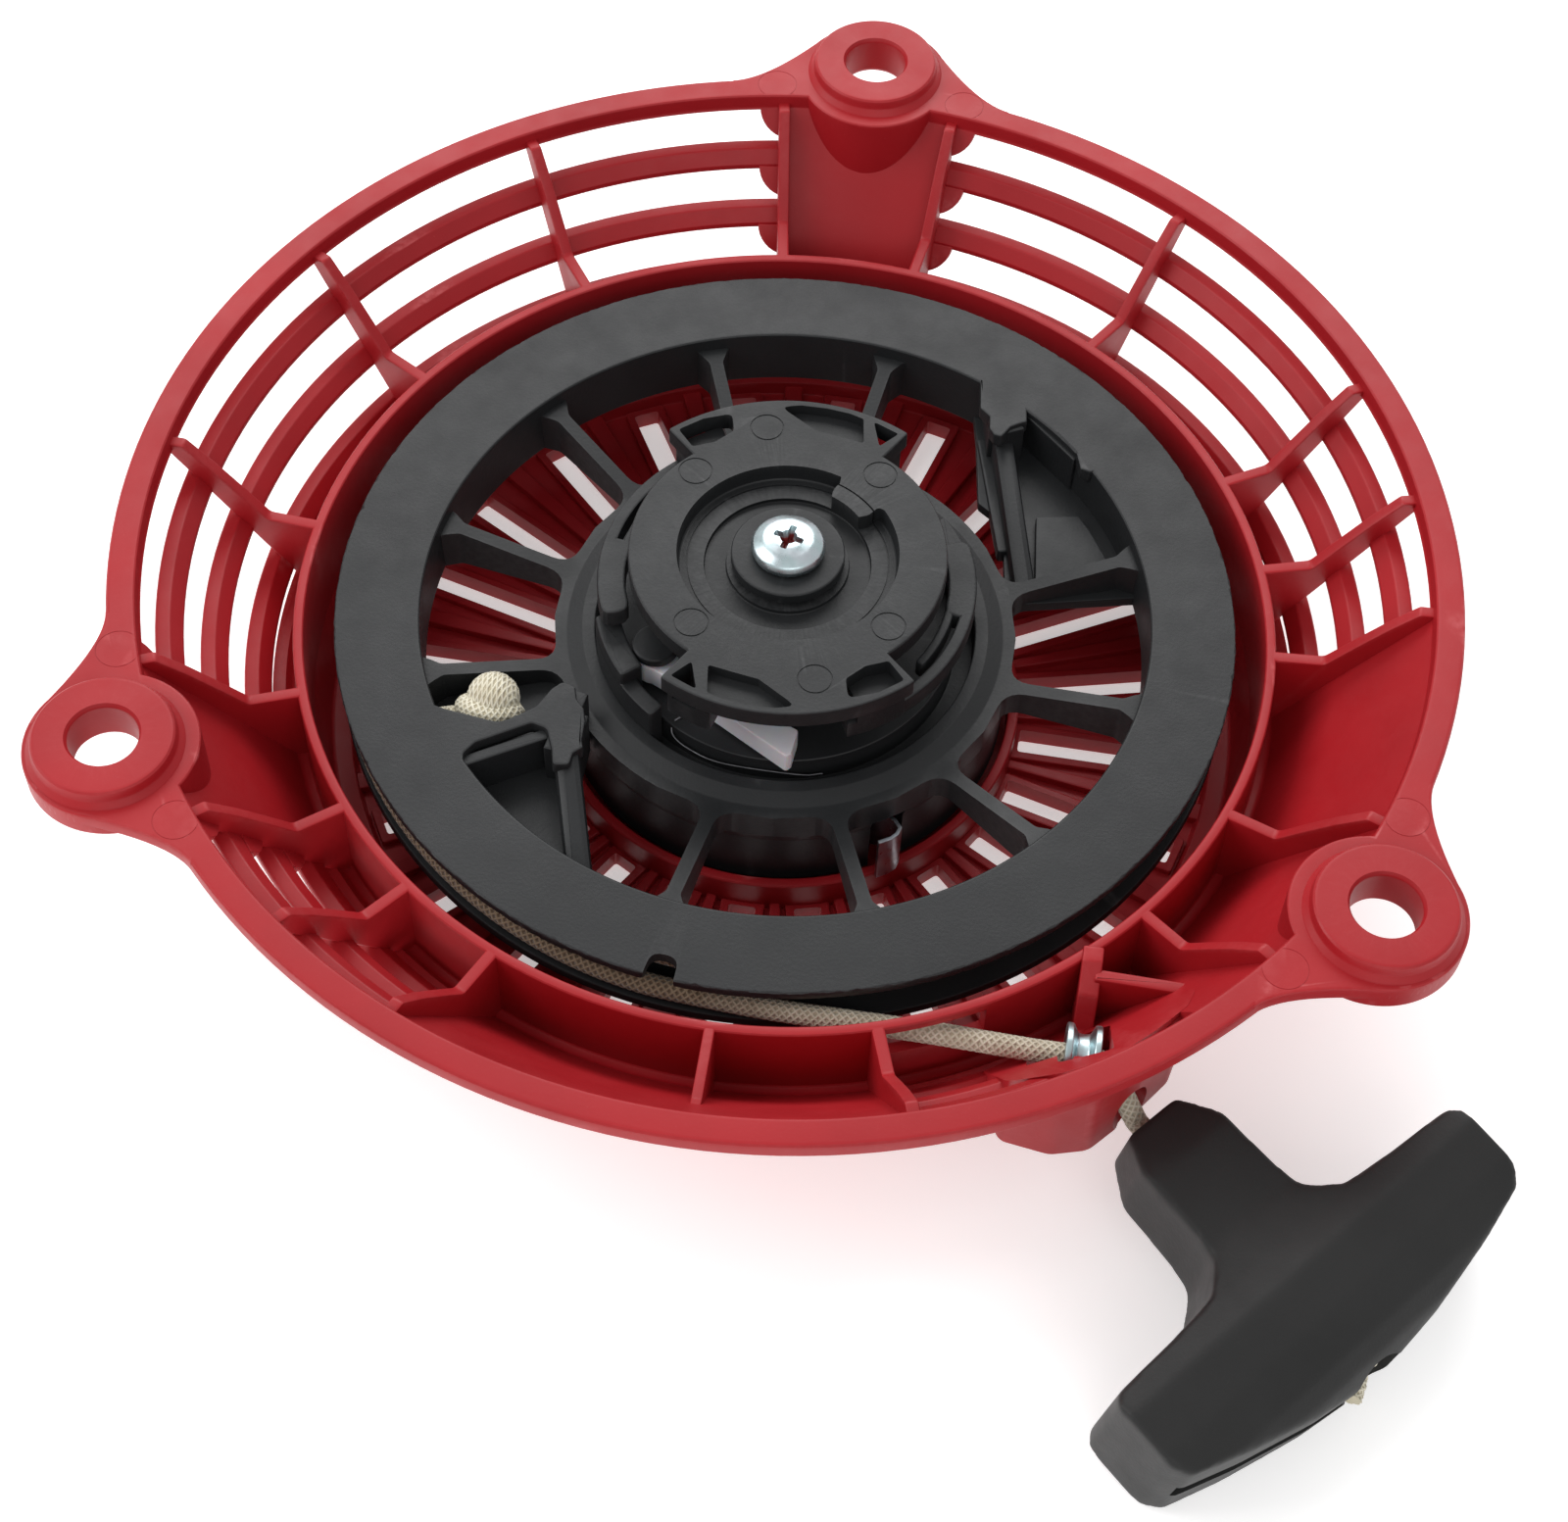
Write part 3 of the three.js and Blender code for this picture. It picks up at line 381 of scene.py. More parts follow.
def piece(obj, name, body, material, nodes, sharp=32):
    """Places a finished solid: metres, smooth faces with sharp edges, material, body and CAD nodes."""
    obj.name = name
    obj.data.name = name
    obj.data.transform(Matrix.Scale(MM, 4))
    bm = bmesh.new()
    bm.from_mesh(obj.data)
    bmesh.ops.remove_doubles(bm, verts=bm.verts, dist=4e-7)
    limit = math.radians(sharp)
    for edge in bm.edges:
        if len(edge.link_faces) == 2:
            edge.smooth = edge.calc_face_angle(0) < limit
    for face in bm.faces:
        face.smooth = True
    bm.to_mesh(obj.data)
    bm.free()
    obj.data.materials.clear()
    obj.data.materials.append(material)
    weighted = obj.modifiers.new("normals", "WEIGHTED_NORMAL")
    weighted.keep_sharp = True
    weighted.weight = 60
    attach(obj, body)
    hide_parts(*nodes)


# ------------ materials
class Nodes:
    """A small helper for building a node material."""

    def __init__(self, name):
        self.material = bpy.data.materials.new(name)
        self.material.use_nodes = True
        self.tree = self.material.node_tree
        self.surface = self.tree.nodes["Principled BSDF"]
        self.place = self.new("ShaderNodeTexCoord").outputs["Object"]

    def new(self, kind, **settings):
        node = self.tree.nodes.new(kind)
        for key, value in settings.items():
            setattr(node, key, value)
        return node

    def link(self, source, target):
        self.tree.links.new(source, target)

    def feed(self, value, target):
        """Puts a number, a colour or another node's output into an input."""
        if isinstance(value, (int, float)):
            target.default_value = value
        elif isinstance(value, tuple):
            target.default_value = (*value, 1)
        else:
            self.link(value, target)

    def noise(self, scale, detail=4.0, rough=0.55):
        node = self.new("ShaderNodeTexNoise")
        for key, value in (("Scale", scale), ("Detail", detail), ("Roughness", rough)):
            node.inputs[key].default_value = value
        self.link(self.place, node.inputs["Vector"])
        return node.outputs["Fac"]

    def ramp(self, source, stops):
        node = self.new("ShaderNodeValToRGB")
        ramp = node.color_ramp
        while len(ramp.elements) < len(stops):
            ramp.elements.new(0.5)
        for element, (position, color) in zip(ramp.elements, stops):
            element.position = position
            element.color = (*color, 1)
        self.link(source, node.inputs["Fac"])
        return node.outputs["Color"]

    def level(self, source, low, high, out_low, out_high):
        node = self.new("ShaderNodeMapRange")
        for key, value in zip(("From Min", "From Max", "To Min", "To Max"), (low, high, out_low, out_high)):
            node.inputs[key].default_value = value
        self.link(source, node.inputs["Value"])
        return node.outputs["Result"]

    def math(self, operation, a, b):
        node = self.new("ShaderNodeMath", operation=operation)
        for value, target in zip((a, b), node.inputs):
            self.feed(value, target)
        return node.outputs[0]

    def mix(self, share, a, b):
        node = self.new("ShaderNodeMix", data_type="RGBA")
        for value, number in ((share, 0), (a, 6), (b, 7)):
            self.feed(value, node.inputs[number])
        return node.outputs[2]

    def bump(self, height, strength, distance=0.0004):
        node = self.new("ShaderNodeBump")
        node.inputs["Strength"].default_value = strength
        node.inputs["Distance"].default_value = distance
        self.link(height, node.inputs["Height"])
        if self.surface.inputs["Normal"].is_linked:
            self.link(self.surface.inputs["Normal"].links[0].from_socket, node.inputs["Normal"])
        self.link(node.outputs["Normal"], self.surface.inputs["Normal"])

    def set(self, **values):
        for key, value in values.items():
            self.feed(value, self.surface.inputs[key.replace("_", " ")])


def edge_highlight(n):
    """A 0 to 1 value that is high on convex edges, broken up by noise; it masks a painted highlight."""
    point = n.new("ShaderNodeNewGeometry").outputs["Pointiness"]
    sharp = n.level(point, 0.53, 0.62, 0, 1)
    return n.math("MULTIPLY", sharp, n.level(n.noise(900, 3), 0.35, 0.65, 0.2, 1))


def moulded(name, deep, light, dust_and_highlight, rough=(0.34, 0.5), grain=0.12, speck=0.25, spec=0.5, wave=0.05):
    """Injection-moulded plastic: soft colour drift, satin grain, dust specks and a painted highlight on
    convex edges.
    """
    n = Nodes(name)
    drift = n.ramp(n.noise(38, 5), [(0.3, deep), (0.7, light)])
    dust = n.level(n.noise(2600, 2, 0.8), 0.66, 0.74, 0, speck)
    color = n.mix(dust, drift, dust_and_highlight)
    # painted highlight: convex edges are mixed halfway towards the pale colour
    color = n.mix(n.math("MULTIPLY", edge_highlight(n), 0.5), color, dust_and_highlight)
    roughness = n.level(n.noise(140, 6, 0.65), 0.3, 0.7, *rough)
    n.set(Base_Color=color, Roughness=roughness, Specular_IOR_Level=spec)
    n.bump(n.noise(1900, 3, 0.6), grain, 0.00012)
    if wave:
        n.bump(n.noise(160, 3), wave, 0.0006)
    return n.material


# the third colour of each plastic is the pale colour of its dust specks and of its painted edge highlight
RED = moulded("red_plastic", (0.31, 0.008, 0.012), (0.38, 0.011, 0.016), (0.54, 0.11, 0.115), (0.38, 0.52),
              0.1, 0.12, 0.3)
BLACK = moulded("black_plastic", (0.013, 0.0138, 0.0148), (0.020, 0.0212, 0.0224), (0.075, 0.076, 0.078),
                (0.38, 0.5), 0.25, 0.12, 0.27, 0)
GRIP = moulded("grip_plastic", (0.016, 0.016, 0.016), (0.022, 0.022, 0.022), (0.07, 0.07, 0.07),
               (0.44, 0.54), 0.25, 0.1, 0.26, 0)


def nylon():
    n = Nodes("nylon")
    n.set(Base_Color=n.ramp(n.noise(60), [(0.3, (0.60, 0.61, 0.66)), (0.7, (0.72, 0.72, 0.76))]),
          Roughness=n.level(n.noise(300), 0.3, 0.7, 0.3, 0.45), Subsurface_Weight=0.35,
          Subsurface_Scale=0.002)
    n.bump(n.noise(900, 3), 0.06, 0.0002)
    return n.material


def plated(name, color, tint, rough, recess=None):
    """Plated metal with a faint second tint; below the height recess, in metres, and near the axis, a dark
    red painted shade lies.
    """
    n = Nodes(name)
    wave = n.ramp(n.noise(230, 2), [(0.35, color), (0.5, tint), (0.68, color)])
    metal = 1.0
    if recess:
        split = n.new("ShaderNodeSeparateXYZ")
        n.link(n.place, split.inputs[0])
        recess_shade = n.level(n.math("ADD", split.outputs["Z"], n.math("MULTIPLY", n.noise(900, 3), 0.0006)),
                       recess + 0.0009, recess + 0.0003, 0, 1)
        reach = n.new("ShaderNodeVectorMath", operation="LENGTH")
        flat = n.new("ShaderNodeCombineXYZ")
        n.link(split.outputs["X"], flat.inputs["X"])
        n.link(split.outputs["Y"], flat.inputs["Y"])
        n.link(flat.outputs[0], reach.inputs[0])
        recess_shade = n.math("MULTIPLY", recess_shade, n.level(reach.outputs["Value"], 0.0034, 0.003, 0, 1))
        # painted shade: dark red, non-metal colour inside the screw's cross recess
        wave = n.mix(recess_shade, wave, (0.20, 0.02, 0.02))
        metal = n.level(recess_shade, 0, 1, 1, 0)
    n.set(Base_Color=wave, Metallic=metal, Roughness=n.level(n.noise(700, 4), 0.3, 0.7, *rough))
    n.bump(n.noise(1500, 4), 0.12, 0.0001)
    return n.material


ZINC = plated("zinc_plate", (0.56, 0.62, 0.66), (0.47, 0.60, 0.62), (0.26, 0.42))
DARK_STEEL = plated("wire_steel", (0.16, 0.16, 0.17), (0.12, 0.12, 0.13), (0.3, 0.45))
STEEL = plated("spring_steel", (0.42, 0.43, 0.45), (0.33, 0.35, 0.39), (0.25, 0.42))


def braided(name, dark, light, gap, shaded_length=None, strands_per_turn=8, pitch=9.4):
    """Braided cord from its length and angle; up to the given length, in cm, it is painted brown with shade.
    """
    n = Nodes(name)
    uv = n.new("ShaderNodeUVMap", uv_map="along").outputs["UV"]
    split = n.new("ShaderNodeSeparateXYZ")
    n.link(uv, split.inputs[0])
    turn, along = split.outputs["Y"], split.outputs["X"]
    strands = []
    for sign in (1, -1):
        lean = n.math("ADD", n.math("MULTIPLY", turn, strands_per_turn * sign),
                      n.math("MULTIPLY", along, pitch))
        strands.append(n.math("SINE", n.math("MULTIPLY", lean, 2 * math.pi), 0))
    weave = n.math("MAXIMUM", strands[0], strands[1])
    shade = n.level(weave, -0.2, 0.8, 0, 1)
    color = n.mix(shade, gap, n.ramp(n.noise(420, 5), [(0.3, dark), (0.7, light)]))
    fibre = n.noise(5200, 2, 0.7)
    color = n.mix(n.level(fibre, 0.35, 0.7, 0, 0.25), color, light)
    if shaded_length:
        # painted shade: brown where the rope runs under the reel's flange
        brown = n.mix(shade, (0.09, 0.06, 0.036), (0.21, 0.155, 0.1))
        edge = n.math("ADD", along, n.math("MULTIPLY", n.noise(300, 3), 1.5))
        color = n.mix(n.level(edge, shaded_length, shaded_length + 1.6, 1, 0), color, brown)
    n.set(Base_Color=color, Roughness=0.82, Sheen_Weight=0.25, Sheen_Roughness=0.5, Specular_IOR_Level=0.25)
    n.bump(weave, 0.6, 0.00025)
    n.bump(fibre, 0.35, 0.00008)
    return n.material


# the run's first 13.5 cm lie under the reel's flange and carry painted brown shade; the rope that pays out
# is plain pale
ROPE_RUN = braided("rope_pale", (0.47, 0.41, 0.31), (0.62, 0.56, 0.45), (0.36, 0.30, 0.21), 13.5)
ROPE_UNSHADED = braided("rope_unshaded", (0.47, 0.41, 0.31), (0.62, 0.56, 0.45), (0.36, 0.30, 0.21))
# painted shade: the wound rope under the reel's flange is coloured dark brown
ROPE_WOUND_SHADE = braided("rope_wound_shaded", (0.30, 0.21, 0.13), (0.44, 0.33, 0.22), (0.14, 0.09, 0.05))
ROPE_KNOT = braided("rope_cream", (0.66, 0.61, 0.46), (0.80, 0.76, 0.62), (0.46, 0.40, 0.26), None, 9, 14)


def braid(height=0.1, strands=8, pitch=0.94):
    """Surface lift of crossing strands, for a tube's along and around."""
    def lift(along, around):
        a = math.sin(strands * around + 2 * math.pi * pitch * along)
        b = math.sin(-strands * around + 2 * math.pi * pitch * along)
        return height * (max(a, b) - 0.5)
    return lift


# ------------ housing
def ear_outline():
    """The rim curving out to a round boss and back, drawn pointing along +X."""
    flare, turn = math.radians(13.5), math.radians(55)

    def on_boss(a):
        return Vector((EAR_BOSS_AT + EAR_BOSS_R * math.cos(a), EAR_BOSS_R * math.sin(a)))

    rim = Vector((RIM_R * math.cos(flare), RIM_R * math.sin(flare)))
    boss = on_boss(turn)
    d, e = Vector((-math.sin(flare), math.cos(flare))), Vector((-math.sin(turn), math.cos(turn)))
    t = (boss - rim).cross(e) / d.cross(e)
    control = rim + d * t
    curve = [rim * (1 - k / 12) ** 2 + control * 2 * (k / 12) * (1 - k / 12) + boss * (k / 12) ** 2
             for k in range(13)]
    arc = [on_boss(turn * (1 - k / 12)) for k in range(1, 12)]
    upper = [Vector(polar(91.5, 13.2)), *curve, *arc]
    lower = [Vector((p.x, -p.y)) for p in reversed(upper)]
    tip = [Vector((EAR_BOSS_AT + EAR_BOSS_R, 0))]
    return [tuple(p) for p in upper + tip + lower] + [polar(91.5, a) for a in (-8, -4, 0, 4, 8)]


def build_ear(angle):
    at = (EAR_BOSS_AT, 0)
    hole = (EAR_HOLE_AT, 0)
    top = prism(ear_outline(), 39.5, RIM_TOP, 0.5, 0)
    boss = shifted(disc(EAR_BOSS_R, EAR_BOSS_LOW, RIM_TOP, edge=0.5, segments=96), *at)
    pad = lathe([(0, 41), (10.9, 41), (10.5, 42.05, 0.8), (9.7, 42.9, 0.6), (9.5, PAD_TOP, 0.8),
                 (0, PAD_TOP)], segments=96)
    return turned(add(top, boss, shifted(pad, *hole)), angle)


def ear_hole(angle):
    wide = 5.3
    hole = lathe([(0, 30), (wide, 30), (wide, 37.4), (EAR_HOLE_R, 38.4, 0.3), (EAR_HOLE_R, 43.9, 0.6),
                  (wide, 44.7), (wide, 50), (0, 50)], segments=72)
    return turned(shifted(hole, EAR_HOLE_AT, 0), angle)


def ear_wall(angle):
    wall = tube_ring(EAR_BOSS_R - 2, EAR_BOSS_R, 5, 41, 96, 0)
    wall = turned(shifted(wall, EAR_BOSS_AT, 0), angle)
    low, high = CONE_LOW[1], 41.4
    inside = lathe([(66, low), (cone_r(low) + 1.2, low), (cone_r(39) + 1.2, 39), (cone_r(39) + 1.2, high),
                    (66, high)], angle - 14, angle + 14, radius=0)
    return keep(wall, inside)


def louvre(k, start, end):
    r, z = 88.5 - 5.2 * k, 34.3 - LOUVRE_PITCH * k
    profile = [(r, z, 0.5), (r - 2.1, z, 0.5), (r - 3.7, z - 2.0, 0.5), (r - 3.7, z - 3.0, 0.4),
               (r - 2.2, z - 3.0, 0.4), (r, z - 1.3, 0.4)]
    return lathe(profile, start, end)


def gusset(angle):
    foot = 13
    profile = [(69.2, foot, 0), (cone_r(foot) + 0.8, foot, 0), (cone_r(39) + 1.2, 39, 0), (90.6, 40.5, 0),
               (88, 40.6, 0.8), (84.2, 36.4, 0), (80.5, 31.8, 0), (77, 27.3, 1.2), (69.2, 27.15, 0)]
    return plate(profile, 1.8, angle, 0.35)


def scallop(angle, k):
    """Rounded end of a louvre opening, where the side wall swells out beside an ear's gusset."""
    side = 1 if angle in (98.5, 218.5) else -1
    z = 39.4 - LOUVRE_PITCH * k
    arc = [(*polar(4.9, 90 + 10 * i), 0) for i in range(19)]
    round_end = prism(arc, -0.75, 0.75, 0.2)
    slope = math.atan2(CONE_TOP[1] - CONE_LOW[1], CONE_TOP[0] - CONE_LOW[0])
    moved(round_end, Matrix.Rotation(-slope, 4, "Y"))
    shifted(round_end, cone_r(z) + 0.9, 0, z)
    return turned(round_end, angle - side * 0.7)


def slot_opening(k):
    angle = SLOT_FIRST + k * 360 / SLOT_COUNT
    return bar(polar(SLOT_IN, angle), polar(SLOT_OUT, angle), SLOT_WIDTH, -3, 12, 0, 0.5)


def slot_frame(k):
    angle = SLOT_FIRST + k * 360 / SLOT_COUNT
    inner, outer = polar(SLOT_IN - 1.5, angle), polar(SLOT_OUT + 1.2, angle)
    return bar(inner, outer, SLOT_WIDTH + 2.4, *FRAME_Z, 0.3, 0.6)


def floor_rib(k):
    angle = SLOT_FIRST + (k + 0.5) * 360 / SLOT_COUNT
    inner, outer = Vector(polar(34.2, angle)), Vector(polar(64.5, angle))
    side = Vector(polar(1, angle + 90))
    points = [inner - side * 0.75, outer - side * 1.5, outer + side * 1.5, inner + side * 0.75]
    return prism(points, *RIB_Z, 0.35, 0.3)


def rope_rib():
    """Rib across the rope's path with an open slot for the guide, and its side rib."""
    x, y, z = EYE
    half = (GUIDE_ROOM_R - 0.4) / 2
    far = [(-50.3, 14, 0), (-50.3, 28.3, 0.5), (-52.6, 28.1, 1.0), (-56.4, 25.4, 1.5), (-57.6, 22.4, 1),
           (-58.8, 20.2, 1), (-60.4, 20, 0.6), (-61.3, 23.4, 0)]
    slot_floor = [(y + GUIDE_ROOM_R * math.cos(a), z + GUIDE_ROOM_R * math.sin(a), 0)
                  for a in (math.radians(-15 * k) for k in range(1, 12))]
    near = [(-67.9, 23.4, 0), (-67.8, 29.5, 1.2), (-70.2, 31, 1.4), (-73.2, 30, 0), (-73.2, 15, 0)]
    rib = prism([*far, *slot_floor, *near], -half, half, 0.35, 0.4)
    stand = Matrix(((0, 0, 1, x), (1, 0, 0, 0), (0, 1, 0, 0), (0, 0, 0, 1)))
    moved(rib, stand)
    side = bar((x + 0.5, -54), (63.2, -54.4), 1.8, 15, 27.2, 0.4, 0.3)
    return add(rib, side)


def guide_room():
    x, y, z = EYE
    reach, half = 4.9, 3.3
    pocket = prism([(x - half, y - reach), (x + half, y - reach), (x + half, y + reach),
                    (x - half, y + reach)], z, 37, 0, 0.8)
    round_part = disc(reach, -half, half, edge=0)
    return add(pocket, moved(round_part, EYE_PLACE))


def rope_out():
    x, y, z = EYE
    return [Vector((28, -63.9, ROPE_Z + 0.1)), Vector((x - 7, y + 0.1, z)), EYE.copy(),
            Vector((x + 3.6, y - 0.6, z - 0.9)), EXIT.copy()]


def snout():
    points = [(39, -73.5, 2), (46, -74.6, 4), (51, -73.2, 3), (56.4, -67.2, 3), (60.6, -61.5, 3),
              (62, -56, 2), (50, -52), (36, -66)]
    body = prism(points, 13.5, 40.4, 0.8, 0.4, 5)
    inner = lathe([(0, -5), (cone_r(12) - 4, -5), (cone_r(12), 12), (cone_r(60), 60), (0, 60)], radius=0)
    return cut(body, inner)


def pin_mark(r, at, z, depth=0.14, half=0.12):
    """A shallow round groove left by an ejector pin."""
    return shifted(tube_ring(r - half, r + half, z - depth, z + 1, 40, 0), *at)


def build_housing():
    shell = lathe([(0, 0), (64.6, 0, 1.0), (66.6, 2.2, 0.8), (68.7, 2.6, 0.6), (70.5, 11.4, 1.2),
                   (73.1, 13.0, 0.8), (91.4, 39.1, 0.8), (RIM_R, 39.4, 0.5), (RIM_R, RIM_TOP, 0.7),
                   (90, RIM_TOP, 0.6), (89.8, 39.8, 0.8), (71.7, 13.6, 0.9), (DRUM_OUT, 13.6, 0.5),
                   (DRUM_OUT, DRUM_TOP, 0.5), (DRUM_IN, DRUM_TOP, 0.5), (DRUM_IN, 12, 1), (67.1, 4.4, 0.8),
                   (64.2, 4.0, 0.3), (63.6, FLOOR_TOP, 0.3), (0, FLOOR_TOP)])
    zones = [sector(71.0, 92.4, a, b, 15.0, 39.5, 0.0) for a, b in LOUVRE_SECTORS]
    cut(shell, together(zones))
    for k in range(3):
        add(shell, together([louvre(k, a - 0.8, b + 0.8) for a, b in LOUVRE_SECTORS]))
    add(shell, together([gusset(a) for a in GUSSETS]))
    add(shell, together([scallop(a, k) for a in (81.5, 98.5, 201.5, 218.5) for k in range(3)]))
    low_gusset = [(70, 14, 0), (74, 14, 0), (84, 29, 0), (80.5, 27.4, 1), (74, DRUM_TOP, 0),
                  (70, DRUM_TOP, 0)]
    add(shell, plate(low_gusset, 1.5, 270, 0.3))
    for angle in EARS:
        add(shell, ear_wall(angle))
    pockets = [turned(disc(EAR_BOSS_R - 2, -1, EAR_BOSS_LOW, (EAR_BOSS_AT, 0), 0, 72), a) for a in EARS]
    cut(shell, together(pockets))
    add(shell, *[build_ear(a) for a in EARS])
    add(shell, snout())
    tunnel = smooth_path([*rope_out()[1:], EXIT * 2 - rope_out()[3]], 1.0)
    cut(shell, guide_room(), tube(tunnel, 3.1, 24), together([ear_hole(a) for a in EARS]))
    add(shell, rope_rib())
    cut(shell, sector(67.5, 71.2, 287.4, 300.2, ROPE_Z - 2.6, ROPE_Z + 2.6, 0))
    # floor: spring well, slot frames, ribs, slots and the centre post
    numbers = range(SLOT_COUNT)
    well = [(WELL_IN, FLOOR_SUNK, 0), (WELL_OUT, FLOOR_SUNK, 0), (WELL_OUT, WELL_TOP), (WELL_IN, WELL_TOP)]
    add(shell, lathe(well, radius=0.5))
    add(shell, together([slot_frame(k) for k in numbers]))
    add(shell, together([floor_rib(k) for k in numbers]))
    cut(shell, together([slot_opening(k) for k in numbers]))
    post = [(0, FLOOR_SUNK), (9.5, FLOOR_SUNK, 0), (9.0, 3.2, 1.0), (POST_R, 5.4, 1.0),
            (POST_R, POST_TOP, 0.6), (0, POST_TOP)]
    add(shell, lathe(post, segments=96))
    marks = [pin_mark(3.0, polar(92.6, angle + offset), RIM_TOP, 0.05, 0.06)
             for angle in EARS for offset in (-9.2, 9.2)]
    cut(shell, disc(SCREW_HOLE_R, 16, 60, edge=0), together(marks))
    piece(shell, "housing", "case", RED,
          ("housing_rim", "housing_wall", "housing_drum", "housing_floor", "housing_post"),
          30)


build_housing()


# ------------ rope guide
def build_guide():
    half = 1.1
    left = [(2.15, -half, 0.4), (2.9, -half - 1.3, 0.3), (4.4, -half - 1.25, 0.3),
            (4.35, -half - 0.35, 0.3), (3.1, -half + 0.3, 0.5), (3.0, 0, 1)]
    profile = [*left, *[(r, -z, corner) for r, z, corner in reversed(left[:-1])]]
    guide = lathe(profile, segments=96)
    piece(moved(guide, EYE_PLACE), "guide_eyelet", "case", ZINC, ("rope_guide",))


build_guide()


# ------------ reel
def ragged(r, z, degrees):
    """Worn, chipped outer edge of the reel's upper flange."""
    if r < 63.2 or z < 25:
        return 0
    p = Vector(polar(6.0, degrees, z * 0.3))
    fine = noise.noise(p * 22) * 0.1 + noise.noise(p * 7) * 0.06
    chip = max(0.0, noise.noise(p * 9 + Vector((5, 1, 7))) - 0.42) * 0.9
    return fine - chip - 0.1


SPOKES = [20.5 + 30 * k for k in range(12)]


def window(start, end):
    """Opening between two spokes: rounded towards the hub, flared out to a T at the rim."""
    half, flare, inner, outer = 1.0, 2.7, 33.4, 52.6

    def swing(r, push):
        return math.degrees(math.asin(push / r))

    inside = arc_between(inner, start + swing(inner, half), end - swing(inner, half), 3.4, 4)
    outside = arc_between(outer, start + swing(outer, flare), end - swing(outer, flare), 0.5, 2)
    right = (*polar(49.8, end - swing(49.8, half)), 1.6)
    left = (*polar(49.8, start + swing(49.8, half)), 1.6)
    return prism([*inside, right, *outside[::-1], left], 10, 40, 0, 0.0001, 5)


def build_reel():
    seat = 23.9
    hub = lathe([(7.3, 18.2, 0), (7.3, 27, 0.4), (9.6, 27, 0.4), (9.6, seat, 0.4), (24.6, seat, 0.35),
                 (24.6, 19.5, 0.3), (27.4, 19.5, 0.3), (27.4, 23.3, 0.35), (29.3, 23.3, 0.6),
                 (31.6, 22.5, 1.0), (33.5, 22.5, 0), (51.2, WEB_TOP, 0), (53.2, WEB_TOP, 0), (53.2, 18.6, 0),
                 (35, WEB_LOW, 0), (33.4, WEB_LOW, 1), (32.7, 16, 0.5), (32.7, 6, 0.5), (31, 6, 0.4),
                 (31, 17.9, 0.5), (23, 17.9, 0.5), (23, 21.6, 0.5), (9.6, 21.6, 0.5), (9.6, 18.2, 0.4)])
    gaps = [(a, a + 30) for a in SPOKES if round(a, 1) not in (50.5, 20.5, 200.5, 230.5)]
    cut(hub, *[window(a, b) for a, b in gaps])
    # the two wide gaps by the knot pocket and opposite it
    cut(hub, window(200.5, 260.5), window(20.5, 80.5))
    rim = lathe([(52.3, FACE_Z, 0.5), (64.5, FACE_Z, 0.3), (64.45, 27.1, 0), (64.3, 26.1, 0.3),
                 (54, 26.0, 0.4), (54, 20.2, 0.4), (64, 20.1, 0.3), (64, WEB_LOW, 0.3),
                 (52.0, WEB_LOW, 0.4)], segments=720, wobble=ragged)
    reel = add(hub, rim)
    lone_spoke = [(31.9, WEB_LOW, 0), (53, WEB_LOW, 0), (53, WEB_TOP, 0), (50.6, 25.6, 0), (33.5, 22.5, 0.6),
                  (31.9, 22.5, 0)]
    add(reel, plate(lone_spoke, 2.0, 20.5, 0.3, 0.2))
    add(reel, knot_pocket(), face_pocket())
    guard = sector(25, 27.6, 200, 235, 19, 28, 0.4, 0.8)
    pin = disc(1.6, 23, 29, polar(PIVOT_R, PIVOT_AT), 0.35, 32)
    head = disc(3.3, 28.5, 30.2, polar(PIVOT_R, PIVOT_AT), 0.5, 48)
    block = sector(23.9, 27.5, 197, 221, 19.2, 30.2, 0.5, 0.6)
    add(pin, head, block)
    add(reel, together([guard, copy(guard, 180)]), together([pin, copy(pin, 180)]))
    notch = [(-1.9, -2.6, 1.8), (1.9, -2.6, 1.8), (2.3, 4, 0), (-2.3, 4, 0)]
    notch_tool = turned(shifted(turned(prism(notch, 24, 32, 0, 0.3, 5), -90), 63.4, 0), 263)
    knot_hole = tube([(-41, -22.6, ROPE_Z), (-54.5, -26.9, ROPE_Z)], 1.95, 20)
    hook_slot = sector(29, 36, 300, 309, 6, 17.8, 0)
    cut(reel, notch_tool, knot_hole, hook_slot)
    piece(reel, "reel_pulley", "rotor", BLACK, ("reel",), 30)


